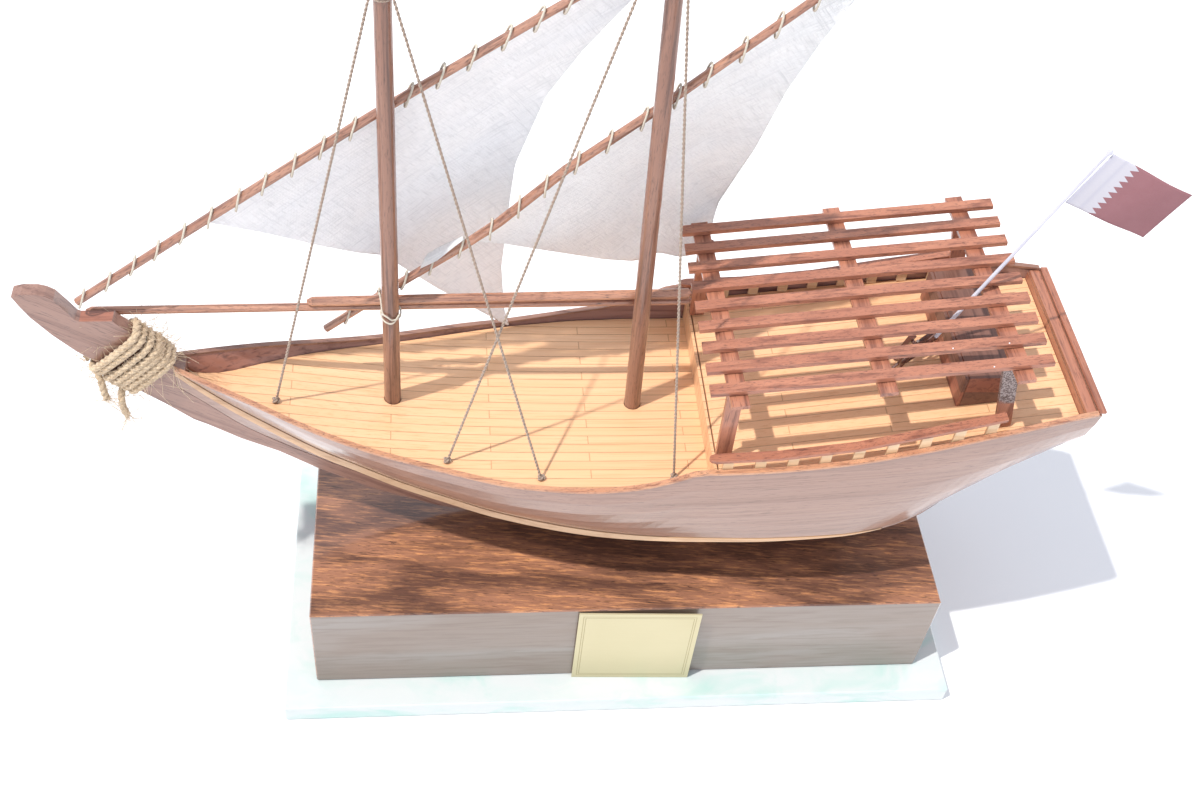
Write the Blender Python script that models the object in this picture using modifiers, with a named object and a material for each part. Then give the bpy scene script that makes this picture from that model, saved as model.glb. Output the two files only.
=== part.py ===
"""Display model of a two-masted dhow on a wood block and a stone-look slab.

Tables and constants are in millimetres and become metres in the objects.
-X is the bow, +X the stern, +Y starboard and +Z up. The origin is the middle of the slab's underside.
"""

import math
from collections import namedtuple

import bmesh
import bpy
import numpy as np
from mathutils import Matrix, Vector

MM = 0.001
GAP = 0.3  # clearance between pieces that touch
UP = Vector((0, 0, 1))

# Base
SLAB_LENGTH, SLAB_WIDTH, SLAB_HEIGHT = 440.0, 200.0, 14.0
BLOCK_LENGTH, BLOCK_WIDTH, BLOCK_HEIGHT = 400.0, 160.0, 75.2
BLOCK_FOOT = SLAB_HEIGHT + GAP
BLOCK_TOP = BLOCK_FOOT + BLOCK_HEIGHT
EDGE = 0.8  # eased edges of slab and block
PLATE_WIDTH, PLATE_HEIGHT, PLATE_THICK = 77.4, 75.0, 1.0
PLATE_CENTRE_X, PLATE_CENTRE_Y = 4.5, -83.4
PLATE_TURN = -2.0  # degrees about Z: its left edge touches the block

# Hull, decks and rail caps
BOARD_HALF = 4.25  # half thickness of the keel and stem board
BOARD_CLEAR = 0.45  # between the board and the hull's bottom
CAP_WIDTH, CAP_THICK = 3.2, 1.5
CAP_OVERHANG = 0.6
CAP_INNER_LEAST = 0.4
WALL = 2.0  # bulwark
STRAKE_END = 148.0
STRAKE_PROUD = 0.35
LINE_DEPTH = 0.15  # of the groove that goes on where the strake has ended
GROOVE_SLOPE = 0.02  # of the groove's upper and lower wall
BOTTOM_LEAST, BOTTOM_HOLLOW = 0.2, 0.03  # least width beside the board, hollow as a share of the width
DECK_THICK, DECK_SIDE_CLEAR = 2.2, 0.9
STEP_X = 36.0  # front of the poop
STEP_BOARD = 2.0
POOP_START_Z, POOP_RISE = 209.8, 0.16
BOW_START, BOW_SOLID_END = -269.7, -264.0
POOP_END = 247.4
LEDGE_START, LEDGE_END, LEDGE_TOP = 247.7, 254.1, 251.0
RAIL_END, RAIL_TOP, RAIL_THICK = 258.4, 253.0, 2.0
RAIL_INSET, RAIL_PROUD, RAIL_OVERHANG = 0.8, 0.6, 2.0  # at the sides, aft, and past the transom
RAIL_EASE = 0.5
TRANSOM_RAKE = 0.12
STATION_STEP = 8.0
SHARP_STEP = 0.3  # length over which the hull's inside steps up or down
SIDE_SHARES = (0.0, 0.1, 0.22, 0.38, 0.58, 0.8, 1.0)  # heights of the points up the hull's side

# Rig
MAST_RADIUS_FOOT, MAST_RADIUS_TOP = 4.9, 4.3
MAST_SOCKET = 6.0  # depth of a mast's foot below the top of the deck
SOCKET_REACH = 0.1  # share of the mast along which its socket's cutter runs
YARD_RADIUS, YARD_TAPER, YARD_THICKEST = 2.7, 1.0, 0.35
YARD_POINTS = 17
SHROUD_RADIUS = 0.8
SAIL_THICK = 0.6
SAIL_COLUMNS, SAIL_ROWS = 36, 10
SAIL_BELLY = 8.0
SAIL_DROP = 1.0  # of the sail's head below the middle of its yard

# Roof, side rails, bench and wheel
SLATS = 9
SLAT_PITCH, SLAT_WIDTH, SLAT_THICK = 16.04, 7.0, 2.8
SLAT_START, SLAT_END = 24.0, 209.4
ROOF_START_Z, ROOF_END_Z = 278.0, 302.2
BEAM_WIDTH, BEAM_THICK = 10.0, 2.6
BEAM_SKEW = 2.0  # of each end: the port end towards the stern
POST_WIDTH, POST_THICK = 9.0, 3.0
POST_FOOT_CLEAR, POST_TOP_CLEAR = 1.9, 1.0
BALUSTERS = 9
BALUSTER_FIRST, BALUSTER_PITCH = 40.8, 18.6
BALUSTER_WIDTH, BALUSTER_THICK, BALUSTER_INSET = 6.0, 1.8, 0.9
SIDE_RAIL_WIDTH, SIDE_RAIL_THICK = 5.8, 2.2
BENCH_NEAR, BENCH_FAR = -38.0, 53.0
BENCH_FRONT, BENCH_BACK = 182.0, 212.0
BENCH_TOP_FRONT, BENCH_TOP_BACK = 257.0, 258.0
BENCH_BOARD_THICK, BENCH_BOARD_TOP = 2.0, 256.6
WHEEL_RADIUS, WHEEL_RIM = 15.4, 1.1
WHEEL_REACH = 19.2  # to the ends of the spokes' handles
WHEEL_CENTRE = Vector((160.8, -5.6, 249.0))
WHEEL_NORMAL = Vector((0.5475, -0.795, -0.254)).normalized()
WHEEL_SPOKES, SPOKE_RADIUS, SPOKE_TURN = 8, 0.9, 0.2
HUB_RADIUS, HUB_HALF, BORE_RADIUS = 3.2, 2.0, 1.5
PIN_RADIUS, PIN_FRONT, STAND_BACK = 1.1, 3.0, 7.0
STAND_WIDTH, STAND_THICK, STAND_ABOVE, STAND_CLEAR = 4.4, 3.0, 3.0, 1.1

# Flag and staff
STAFF_FOOT = Vector((166.8, -9.8, 262.5))
STAFF_BEND = Vector((190.3, -6.2, 311.5))
STAFF_TIP = Vector((230.4, 0.0, 393.9))
WIRE_FROM, WIRE_TO, KNOB_AT = 0.01, 0.955, 0.975  # shares of the staff's length above its bend
STAFF_RADIUS, WIRE_RADIUS, KNOB_RADIUS = 1.5, 0.7, 1.8
FLAG_THICK = 0.5
FLAG_LOW_IN, FLAG_HIGH_IN = Vector((215.3, -2.7, 359.4)), Vector((231.6, -0.6, 391.2))
FLAG_HIGH_OUT, FLAG_LOW_OUT = Vector((277.8, -13.0, 373.7)), Vector((266.7, -6.0, 337.2))

# Rope wound round the stem
LASHING_TURNS, LASHING_RADIUS, LASHING_STEPS = 7, 1.9, 20
LASHING_START, LASHING_END = Vector((-301.9, 0.0, 247.7)), Vector((-281.6, 0.0, 224.3))
LASHING_REACH_START, LASHING_REACH_END = 20.3, 18.6
LASHING_SIDE = 7.8  # from the middle plane to the rope's centre
LASHING_SQUARE = 4.0  # power of the turn's outline: 2 is an ellipse
ROPE_END_POINTS = 6

Sheer = namedtuple("Sheer", "x half z")
SHEER = [  # outer top edge of the rail cap
    Sheer(-270, 6.8, 233.0),
    Sheer(-248, 15.8, 227.8),
    Sheer(-224, 24.9, 222.0),
    Sheer(-200, 33.8, 215.0),
    Sheer(-176, 41.6, 209.2),
    Sheer(-152, 48.6, 205.2),
    Sheer(-128, 55.3, 203.0),
    Sheer(-104, 61.8, 201.2),
    Sheer(-80, 67.2, 199.4),
    Sheer(-56, 71.2, 200.1),
    Sheer(-32, 74.3, 202.2),
    Sheer(-16, 75.2, 204.6),
    Sheer(0, 76.2, 209.3),
    Sheer(16, 76.4, 215.8),
    Sheer(26, 76.6, 220.4),
    Sheer(40, 77.3, 221.4),
    Sheer(60, 77.0, 221.9),
    Sheer(104, 76.4, 226.4),
    Sheer(148, 75.4, 235.5),
    Sheer(192, 72.4, 245.8),
    Sheer(226, 67.8, 251.0),
    Sheer(240, 65.0, 252.4),
    Sheer(260, 61.0, 253.0),
]

Chine = namedtuple("Chine", "x half z keel fullness tall rabbet")
CHINE = [  # half and z: the pale strake's lower edge, tall: its height, keel: the hull's bottom
    Chine(-270, 4.9, 226.5, 216.0, 1.10, 3.6, 0.6),
    Chine(-257, 5.2, 211.6, 203.0, 1.10, 5.0, 0.6),
    Chine(-236, 7.2, 193.0, 181.0, 1.15, 5.5, 0.9),
    Chine(-214, 12.0, 179.6, 164.0, 1.20, 5.8, 1.4),
    Chine(-191, 18.0, 167.9, 148.5, 1.30, 6.0, 1.6),
    Chine(-168, 24.0, 160.2, 134.0, 1.50, 5.8, 1.6),
    Chine(-144, 30.4, 152.6, 121.5, 1.70, 5.7, 1.6),
    Chine(-120, 36.8, 147.6, 110.5, 1.85, 5.5, 1.6),
    Chine(-84, 47.2, 142.6, 99.0, 2.00, 5.3, 1.6),
    Chine(-36, 57.0, 138.8, 95.5, 2.10, 5.2, 1.6),
    Chine(0, 64.2, 141.8, 95.5, 2.20, 4.4, 1.6),
    Chine(36, 68.8, 145.4, 96.5, 2.20, 3.6, 1.6),
    Chine(80, 71.2, 148.0, 98.5, 2.20, 2.8, 1.6),
    Chine(120, 70.0, 149.8, 103.0, 2.20, 1.6, 1.6),
    Chine(148, 66.5, 152.6, 110.0, 2.40, 0.8, 1.6),
    Chine(168, 61.5, 156.6, 121.0, 2.70, 0.8, 1.6),
    Chine(190, 53.0, 167.0, 137.0, 3.00, 0.8, 1.6),
    Chine(224, 40.0, 185.8, 172.0, 2.80, 0.8, 1.6),
    Chine(240, 36.0, 194.0, 187.0, 2.60, 0.8, 1.6),
    Chine(262, 32.0, 204.0, 200.0, 2.40, 0.8, 1.6),
]

DeckLine = namedtuple("DeckLine", "x z")
MAIN_DECK = [
    DeckLine(-266, 222.2),
    DeckLine(-260, 220.0),
    DeckLine(-243, 214.0),
    DeckLine(-226, 211.8),
    DeckLine(-209, 209.3),
    DeckLine(-192, 206.5),
    DeckLine(-180, 204.5),
    DeckLine(-156, 201.0),
    DeckLine(-132, 198.5),
    DeckLine(-101, 196.3),
    DeckLine(-57, 194.7),
    DeckLine(-18, 194.2),
    DeckLine(40, 194.6),
]

Point = namedtuple("Point", "x z")
BOARD_FOOT = [  # lower edge of stem, keel and sternpost
    Point(-346.7, 287.3),
    Point(-343.8, 280.0),
    Point(-339.8, 271.5),
    Point(-330.8, 257.8),
    Point(-320.4, 245.1),
    Point(-313.7, 239.0),
    Point(-291.6, 212.9),
    Point(-278.1, 200.8),
    Point(-264.2, 187.1),
    Point(-256.7, 182.4),
    Point(-238.5, 169.2),
    Point(-217.5, 157.1),
    Point(-195.1, 140.1),
    Point(-160.0, 118.0),
    Point(-120.0, 100.0),
    Point(-82.4, BLOCK_TOP + GAP),
]
STERNPOST_HEEL, STERNPOST_HEAD = Point(168.4, BLOCK_TOP + GAP), Point(240.0, 186.0)
STERNPOST_TOP = Point(243.5, 188.6)
BOARD_AFT_END = 243.0  # of its upper edge under the hull
BOARD_HEAD = [  # upper edge of the stem head, from the tip down to the hull
    Point(-341.6, 288.8),
    Point(-333.8, 288.8),
    Point(-329.6, 287.5),
    Point(-325.6, 284.8),
    Point(-320.6, 276.4),
    Point(-316.8, 269.8),
    Point(-315.1, 268.8),
    Point(-297.6, 269.1),
    Point(-294.8, 265.3),
    Point(-291.1, 261.6),
    Point(-270.9, 234.7),
    Point(-270.0, 233.4),
]

RUDDER_HALF, RUDDER_NOSE, RUDDER_TAIL = 2.4, 0.5, 1.2  # half thicknesses
RUDDER_SHOULDER = 4.0  # from the nose to the full thickness
RUDDER_GAP = 0.7  # from the sternpost, square to it
RUDDER_PIVOT = Vector((183.8, 0.0, 108.85))
Blade = namedtuple("Blade", "z depth")
RUDDER = [  # depth: fore-and-aft width at this height
    Blade(107.0, 22.0),
    Blade(112.0, 24.0),
    Blade(135.0, 19.0),
    Blade(160.0, 13.0),
    Blade(181.0, 9.0),
]

Spar = namedtuple("Spar", "name start end radius")
SPARS = [
    Spar("long_spar", (-313.5, 7.2, 265.7), (23.8, 12.2, 270.1), 2.45),
    Spar("short_spar", (-193.7, 7.6, 272.8), (22.8, 10.2, 277.8), 2.85),
]
SPAR_TAPER = 3.0  # length of a spar's rounded end
SPAR_NOSE, SPAR_TAIL = 0.45, 0.55  # radius of the fore and the aft end, as shares of the spar's

Mast = namedtuple("Mast", "name foot_x top_x top_z shroud_z")
MASTS = {
    "fore": Mast("mast_fore", -148.0, -146.0, 515.0, 476.0),
    "aft": Mast("mast_aft", -3.7, -15.4, 555.0, 522.0),
}
MAST_CHAMFER, MAST_CHAMFER_IN = 1.2, 1.0  # height and depth of the eased top edge

YARDS = {
    "yard_fore": [
        (-315.0, 1.4, 278.4),
        (-244.3, 5.5, 331.9),
        (-151.8, 7.8, 402.6),
        (-59.6, 13.0, 466.3),
        (12.0, 15.0, 513.0),
    ],
    "yard_aft": [
        (-185.1, 15.4, 243.5),
        (-143.5, 14.8, 279.5),
        (-94.8, 12.2, 321.7),
        (-54.8, 9.6, 367.8),
        (-12.6, 7.9, 407.6),
        (55.8, 7.0, 474.4),
        (112.0, 6.0, 528.0),
    ],
}

Sail = namedtuple("Sail", "name yard head_start head_end edge")
SAILS = [  # edge: foot and leech from the tack to the peak, bellied to starboard
    Sail("sail_fore", "yard_fore", 0.235, 0.985, [
        (-241.0, 9.6, 329.0),
        (-212.1, 14.0, 317.7),
        (-185.2, 22.0, 301.8),
        (-165.7, 27.0, 292.2),
        (-151.2, 31.0, 286.6),
        (-141.1, 36.0, 272.9),
        (-121.3, 43.0, 249.3),
        (-76.5, 58.0, 201.6),
        (-80.4, 57.0, 218.0),
        (-83.5, 53.0, 257.4),
        (-81.2, 44.0, 314.9),
        (-79.7, 38.0, 346.5),
        (-73.9, 33.0, 370.4),
        (-66.2, 27.0, 401.2),
        (-53.3, 21.5, 432.5),
        (-36.0, 19.0, 460.7),
        (6.5, 19.6, 506.5),
    ]),
    Sail("sail_aft", "yard_aft", 0.19, 0.97, [
        (-125.5, 18.0, 294.0),
        (-108.1, 17.6, 309.0),
        (-100.9, 19.0, 308.3),
        (-85.4, 27.0, 299.9),
        (-56.7, 40.0, 282.5),
        (-22.7, 53.0, 264.2),
        (-2.5, 60.0, 256.2),
        (11.9, 66.0, 258.0),
        (28.1, 76.0, 245.0),
        (44.7, 84.0, 241.1),
        (45.7, 83.0, 255.4),
        (46.4, 80.0, 280.0),
        (46.3, 76.0, 290.1),
        (50.4, 60.0, 326.4),
        (53.0, 48.0, 351.5),
        (58.5, 28.0, 407.7),
        (66.9, 17.0, 444.4),
        (76.1, 12.6, 469.3),
        (103.0, 10.6, 515.0),
    ]),
]

Shroud = namedtuple("Shroud", "name mast foot_x foot_y")
SHROUDS = [
    Shroud("shroud_fore_1", "fore", -214.4, -11.4),
    Shroud("shroud_fore_2", "fore", -62.6, -58.4),
    Shroud("shroud_aft_1", "aft", -116.4, -46.8),
    Shroud("shroud_aft_2", "aft", 14.9, -58.4),
]
SHROUD_CLEAR = 0.7  # from the deck and from the mast

Beam = namedtuple("Beam", "x port starboard")
BEAMS = [  # port and starboard: half lengths, the first one's end clears the aft sail
    Beam(37.8, 75.0, 72.4),
    Beam(117.3, 75.0, 75.0),
    Beam(191.4, 75.0, 75.0),
]

Post = namedtuple("Post", "name top_x top_y foot_x foot_y")
POSTS = [
    Post("roof_post_fore_port", 39.6, -60.0, 40.6, -60.0),
    Post("roof_post_fore_starboard", 39.0, 60.0, 41.0, 60.0),
    Post("roof_post_aft_port", 190.5, -58.0, 202.0, -56.0),
    Post("roof_post_aft_starboard", 190.5, 58.0, 202.0, 56.0),
]

RailLine = namedtuple("RailLine", "x outer top nose")
RAIL_LINE = [  # side rails over the balusters, nose: how far each side is drawn in
    RailLine(30.0, 74.0, 228.2, 1.9),
    RailLine(31.0, 74.0, 228.3, 0.9),
    RailLine(34.0, 74.0, 228.4, 0.0),
    RailLine(68.8, 74.0, 230.5, 0.0),
    RailLine(113.6, 73.4, 237.2, 0.0),
    RailLine(157.2, 72.0, 248.4, 0.0),
    RailLine(196.0, 70.0, 258.2, 0.0),
]

ROPE_ENDS = {  # each comes from under the far side of the turns and hangs down on the near side
    "stem_rope_end_1": [
        (-315.4, 11.0, 226.2),
        (-314.0, 2.0, 224.8),
        (-311.6, -4.0, 219.6),
        (-311.2, -5.2, 213.5),
        (-310.4, -5.4, 207.0),
    ],
    "stem_rope_end_2": [
        (-301.7, 10.5, 213.6),
        (-301.6, 1.0, 212.4),
        (-302.4, -4.2, 207.0),
        (-302.6, -5.2, 200.5),
        (-301.4, -5.4, 192.6),
    ],
}

Finish = namedtuple("Finish", "colour roughness metallic")
FINISHES = {
    "red_wood": Finish((0.30, 0.085, 0.040), 0.35, 0.0),
    "hull_wood": Finish((0.30, 0.18, 0.13), 0.35, 0.0),
    "block_wood": Finish((0.075, 0.025, 0.014), 0.2, 0.0),
    "deck_wood": Finish((0.78, 0.52, 0.25), 0.4, 0.0),
    "pale_wood": Finish((0.75, 0.55, 0.34), 0.4, 0.0),
    "dark_wood": Finish((0.06, 0.022, 0.014), 0.3, 0.0),
    "brass": Finish((0.80, 0.66, 0.32), 0.35, 1.0),
    "stone": Finish((0.82, 0.88, 0.85), 0.3, 0.0),
    "cloth": Finish((0.86, 0.85, 0.83), 0.9, 0.0),
    "jute": Finish((0.50, 0.36, 0.20), 0.95, 0.0),
    "cord": Finish((0.22, 0.15, 0.10), 0.9, 0.0),
    "white": Finish((0.85, 0.85, 0.86), 0.3, 0.0),
    "maroon": Finish((0.26, 0.03, 0.05), 0.8, 0.0),
}


# Objects from Blender's primitives, curves and modifiers


def clear_scene():
    for thing in list(bpy.data.objects):
        bpy.data.objects.remove(thing, do_unlink=True)


def collection(name):
    made = bpy.data.collections.new(name)
    bpy.context.scene.collection.children.link(made)
    return made


def material(finish_name):
    name = "mat_" + finish_name
    found = bpy.data.materials.get(name)
    if found:
        return found
    finish = FINISHES[finish_name]
    made = bpy.data.materials.new(name)
    made.use_nodes = True
    surface = made.node_tree.nodes["Principled BSDF"]
    surface.inputs["Base Color"].default_value = (*finish.colour, 1.0)
    surface.inputs["Roughness"].default_value = finish.roughness
    surface.inputs["Metallic"].default_value = finish.metallic
    made.diffuse_color = (*finish.colour, 1.0)
    return made


def add_object(name, data, finish, into, place):
    data.materials.append(material(finish))
    made = bpy.data.objects.new(name, data)
    made.matrix_world = place
    into.objects.link(made)
    return made


def mesh_object(name, shape, finish, into, place):
    """An object from a bmesh in metres, with its round sides shaded smooth."""
    mesh = bpy.data.meshes.new(name)
    shape.to_mesh(mesh)
    shape.free()
    mesh.shade_smooth()
    mesh.set_sharp_from_angle(angle=math.radians(35))
    return add_object(name, mesh, finish, into, place)


def at(x, y, z):
    return Matrix.Translation(Vector((x, y, z)) * MM)


def between(start, end, side):
    """Placement halfway between two points, with X along them and Y towards a side."""
    ahead = (end - start).normalized()
    wide = (side - ahead * side.dot(ahead)).normalized()
    turn = Matrix((ahead, wide, ahead.cross(wide))).transposed().to_4x4()
    return Matrix.Translation((start + end) / 2 * MM) @ turn


def box(name, size, place, finish, into):
    """A cuboid with its middle on the placement's origin."""
    shape = bmesh.new()
    bmesh.ops.create_cube(shape, size=MM, matrix=Matrix.Diagonal((*size, 1.0)))
    return mesh_object(name, shape, finish, into, place)


def box_from_to(name, low, high, finish, into):
    middle = (Vector(low) + Vector(high)) / 2
    return box(name, Vector(high) - Vector(low), at(*middle), finish, into)


def bar(name, start, end, width, thick, side, finish, into):
    """A flat bar between two points, its width towards a side."""
    return box(name, ((end - start).length, width, thick), between(start, end, side), finish, into)


def rod(name, start, end, radius, sides, finish, into):
    """A cylinder between two points."""
    ahead = end - start
    shape = bmesh.new()
    bmesh.ops.create_cone(shape, cap_ends=True, segments=sides, radius1=radius * MM, radius2=radius * MM,
                          depth=ahead.length * MM)
    turn = ahead.to_track_quat("Z", "Y").to_matrix().to_4x4()
    return mesh_object(name, shape, finish, into, Matrix.Translation((start + end) / 2 * MM) @ turn)


def tube(name, points, radii, resolution, finish, into):
    """A round bar along a route, as a bevelled curve with a radius for each point."""
    curve = bpy.data.curves.new(name, "CURVE")
    curve.dimensions = "3D"
    curve.bevel_depth = max(radii) * MM
    curve.bevel_resolution = resolution
    curve.use_fill_caps = True
    spline = curve.splines.new("POLY")
    spline.points.add(len(points) - 1)
    for node, point, radius in zip(spline.points, points, radii):
        node.co = (*(Vector(point) * MM), 1.0)
        node.radius = radius / max(radii)
    return add_object(name, curve, finish, into, Matrix())


def flat_outline(name, outline, half_thickness, finish, into):
    """A board in the ship's middle plane, as a filled 2D curve."""
    curve = bpy.data.curves.new(name, "CURVE")
    curve.dimensions = "2D"
    curve.fill_mode = "BOTH"
    curve.extrude = half_thickness * MM
    spline = curve.splines.new("POLY")
    spline.points.add(len(outline) - 1)
    for node, point in zip(spline.points, outline):
        node.co = (point.x * MM, point.z * MM, 0.0, 1.0)
    spline.use_cyclic_u = True
    return add_object(name, curve, finish, into, Matrix.Rotation(math.radians(90), 4, "X"))


def loft(name, rings, finish, into, half=False, origin=Vector()):
    """A skin through rings of equal count. A half one stays open along the middle plane."""
    shape = bmesh.new()
    rows = [[shape.verts.new((Vector(point) - origin) * MM) for point in ring] for ring in rings]
    count = len(rows[0])
    for before, after in zip(rows, rows[1:]):
        for i in range(count - 1 if half else count):
            j = (i + 1) % count
            shape.faces.new((before[i], before[j], after[j], after[i]))
    shape.faces.new(reversed(rows[0]))
    shape.faces.new(rows[-1])
    bmesh.ops.remove_doubles(shape, verts=shape.verts, dist=1e-7)
    bmesh.ops.recalc_face_normals(shape, faces=shape.faces)
    return mesh_object(name, shape, finish, into, at(*origin))


def sheet(name, point_at, columns, rows, thick, finish, into):
    """Cloth: a grid whose points come from a function of two shares, thickened by Solidify."""
    shape = bmesh.new()
    bmesh.ops.create_grid(shape, x_segments=columns, y_segments=rows, size=0.5)
    for vertex in shape.verts:
        vertex.co = point_at(vertex.co.x + 0.5, 0.5 - vertex.co.y) * MM
    made = mesh_object(name, shape, finish, into, Matrix())
    modifier = made.modifiers.new("thickness", "SOLIDIFY")
    modifier.thickness = thick * MM
    modifier.offset = 0.0
    return made


def mirror_across(thing):
    modifier = thing.modifiers.new("both_sides", "MIRROR")
    modifier.use_axis = (False, True, False)
    modifier.merge_threshold = 1e-5


def other_side(thing, name, into):
    """The same piece on the other side of the ship, with the same mesh."""
    made = bpy.data.objects.new(name, thing.data)
    made.scale.y = -1
    into.objects.link(made)


def bevel_edges(thing, width):
    modifier = thing.modifiers.new("eased_edges", "BEVEL")
    modifier.width = width * MM
    modifier.segments = 1


def combine(target, helper, operation):
    """Cuts a helper from an object, or joins it on, and hides the helper."""
    helper.hide_render = True
    helper.display_type = "WIRE"
    modifier = target.modifiers.new(helper.name, "BOOLEAN")
    modifier.operation = operation
    modifier.solver = "EXACT"
    modifier.object = helper


# Lines of the hull


def along(rows, column, x):
    """A column of a table at x, on a cubic through its rows that doesn't overshoot."""
    xs = np.array([row.x for row in rows], float)
    ys = np.array([getattr(row, column) for row in rows], float)
    steps = np.diff(xs)
    slopes = np.diff(ys) / steps
    product = slopes[:-1] * slopes[1:]
    total = slopes[:-1] + slopes[1:]
    inner = np.where(product > 0, 2 * product / np.where(product > 0, total, 1), 0)
    tangents = np.concatenate([slopes[:1], inner, slopes[-1:]])
    i = int(np.clip(np.searchsorted(xs, x) - 1, 0, len(steps) - 1))
    t = (x - xs[i]) / steps[i]
    return float(
        (2 * t**3 - 3 * t**2 + 1) * ys[i]
        + (t**3 - 2 * t**2 + t) * steps[i] * tangents[i]
        + (3 * t**2 - 2 * t**3) * ys[i + 1]
        + (t**3 - t**2) * steps[i] * tangents[i + 1]
    )


def route_at(route, share):
    """The point at a share of a polyline's length."""
    points = [Vector(point) for point in route]
    lengths = [(b - a).length for a, b in zip(points, points[1:])]
    left = share * sum(lengths)
    for a, b, length in zip(points, points[1:], lengths):
        if left <= length:
            return a.lerp(b, left / length)
        left -= length
    return points[-1]


def smooth_route(route, count):
    """Points at equal shares of a smooth curve through a route's own points."""
    points = [Vector(point) for point in route]
    points = [2 * points[0] - points[1], *points, 2 * points[-1] - points[-2]]
    fine = []
    for a, b, c, d in zip(points, points[1:], points[2:], points[3:]):
        for k in range(12):
            t = k / 12
            square = 2 * a - 5 * b + 4 * c - d
            cube = 3 * b - a - 3 * c + d
            fine.append((2 * b + (c - a) * t + square * t**2 + cube * t**3) / 2)
    fine.append(points[-2])
    return [route_at(fine, i / (count - 1)) for i in range(count)]


def spread(start, end):
    """Stations at even steps from start to end."""
    count = max(1, round((end - start) / STATION_STEP))
    return [start + (end - start) * i / count for i in range(count + 1)]


STEP_END = STEP_X + STEP_BOARD
FORE_STATIONS = spread(BOW_SOLID_END + SHARP_STEP, STEP_END)
AFT_STATIONS = spread(STEP_END + SHARP_STEP, STRAKE_END) + spread(STRAKE_END + SHARP_STEP, POOP_END)


def poop_top(x):
    return POOP_START_Z + POOP_RISE * (x - STEP_X)


def deck_top(x):
    return poop_top(x) if x > STEP_END else along(MAIN_DECK, "z", x)


def side_top(x):
    """Height of the hull's side, under the rail cap."""
    return along(SHEER, "z", x) - CAP_THICK - GAP


def side_profile(x):
    """Hull's side above the strake, as half width and height."""
    half = along(SHEER, "half", x) - CAP_OVERHANG
    chine = along(CHINE, "half", x)
    low = along(CHINE, "z", x) + along(CHINE, "tall", x) + GAP
    high = side_top(x)
    fullness = along(CHINE, "fullness", x)
    profile = []
    for share in SIDE_SHARES:
        width = chine + (half - chine) * (1 - (1 - share) ** fullness)
        profile.append((width, low + share * (high - low)))
    return profile


def outer_side(x):
    """Outside of the hull at x, from the middle of the bottom up to the rail cap."""
    chine = along(CHINE, "half", x)
    chine_z = along(CHINE, "z", x)
    keel = along(CHINE, "keel", x)
    foot = min(BOARD_HALF, chine - BOTTOM_LEAST)
    middle = (foot + chine) / 2
    groove = chine - (along(CHINE, "rabbet", x) if x <= STRAKE_END else LINE_DEPTH)
    top = chine_z + along(CHINE, "tall", x)
    return [
        (0.0, keel),
        (foot, keel),
        (middle, (keel + chine_z) / 2 - BOTTOM_HOLLOW * (chine - foot)),
        (chine, chine_z - GAP),
        (groove, chine_z - GAP + GROOVE_SLOPE),
        (groove, top + GAP - GROOVE_SLOPE),
        *side_profile(x),
    ]


def inside(x, bed):
    """Inner face of the bulwark from the rail cap down to a bed, as half width and height."""
    profile = [(along(CHINE, "half", x), along(CHINE, "z", x)), *side_profile(x)]
    widths, heights = zip(*profile)
    top = side_top(x)
    low = min(bed, top)
    return [(float(np.interp(z, heights, widths)) - WALL, z) for z in (top, (top + low) / 2, low)]


def inside_at(x, bed, z):
    widths, heights = zip(*reversed(inside(x, bed)))
    return float(np.interp(z, heights, widths))


def hull_ring(x, bed):
    """Port half of the hull at x, from the bottom's middle to that of a bed or of the solid top."""
    half = outer_side(x) + inside(x, bed)
    return [(x, -y, z) for y, z in [*half, (0.0, half[-1][1])]]


def build_hull(into):
    drop = DECK_THICK + GAP
    solid_top = RAIL_TOP * 2
    rings = [hull_ring(x, solid_top) for x in (BOW_START, (BOW_START + BOW_SOLID_END) / 2, BOW_SOLID_END)]
    rings += [hull_ring(x, along(MAIN_DECK, "z", x) - drop) for x in FORE_STATIONS]
    rings += [hull_ring(x, poop_top(x) - drop) for x in AFT_STATIONS]
    rings += [hull_ring(x, LEDGE_TOP - drop) for x in (POOP_END + SHARP_STEP / 2, LEDGE_END)]
    wall_top = RAIL_TOP - RAIL_THICK - GAP
    for x, rake in ((LEDGE_END + SHARP_STEP / 2, 0.0), (RAIL_END - RAIL_OVERHANG, TRANSOM_RAKE)):
        ring = [(x, y, min(z, wall_top)) for x, y, z in hull_ring(x, solid_top)]
        rings.append([(x + rake * (z - wall_top), y, z) for x, y, z in ring])
    hull = loft("hull", rings, "hull_wood", into, half=True)
    mirror_across(hull)
    return hull


def deck_rings(stations, top_of):
    rings = []
    for x in stations:
        top = top_of(x)
        under = top - DECK_THICK
        bed = top - DECK_THICK - GAP
        low, high = [inside_at(x, bed, z) - DECK_SIDE_CLEAR for z in (under, top)]
        rings.append([(x, -low, under), (x, low, under), (x, high, top), (x, -high, top)])
    return rings


def build_decks(into):
    main = [FORE_STATIONS[0] + GAP, *FORE_STATIONS[1:-1], STEP_END - GAP]
    main_deck = loft("main_deck", deck_rings(main, lambda x: along(MAIN_DECK, "z", x)), "deck_wood", into)
    poop = [AFT_STATIONS[0] + GAP, *AFT_STATIONS[1:-1], POOP_END - GAP]
    loft("poop_deck", deck_rings(poop, poop_top), "deck_wood", into)
    low = deck_top(STEP_X) + GAP
    half = inside_at(STEP_X, low - DECK_THICK, low) - GAP
    high = poop_top(STEP_END)
    box_from_to("poop_front_board", (STEP_X, -half, low), (STEP_END - GAP, half, high), "deck_wood", into)
    low = LEDGE_TOP - DECK_THICK
    half = inside_at(LEDGE_END, low - GAP, low) - GAP
    aft = LEDGE_END - GAP
    box_from_to("transom_ledge", (LEDGE_START, -half, low), (aft, half, LEDGE_TOP), "red_wood", into)
    return main_deck


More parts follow.
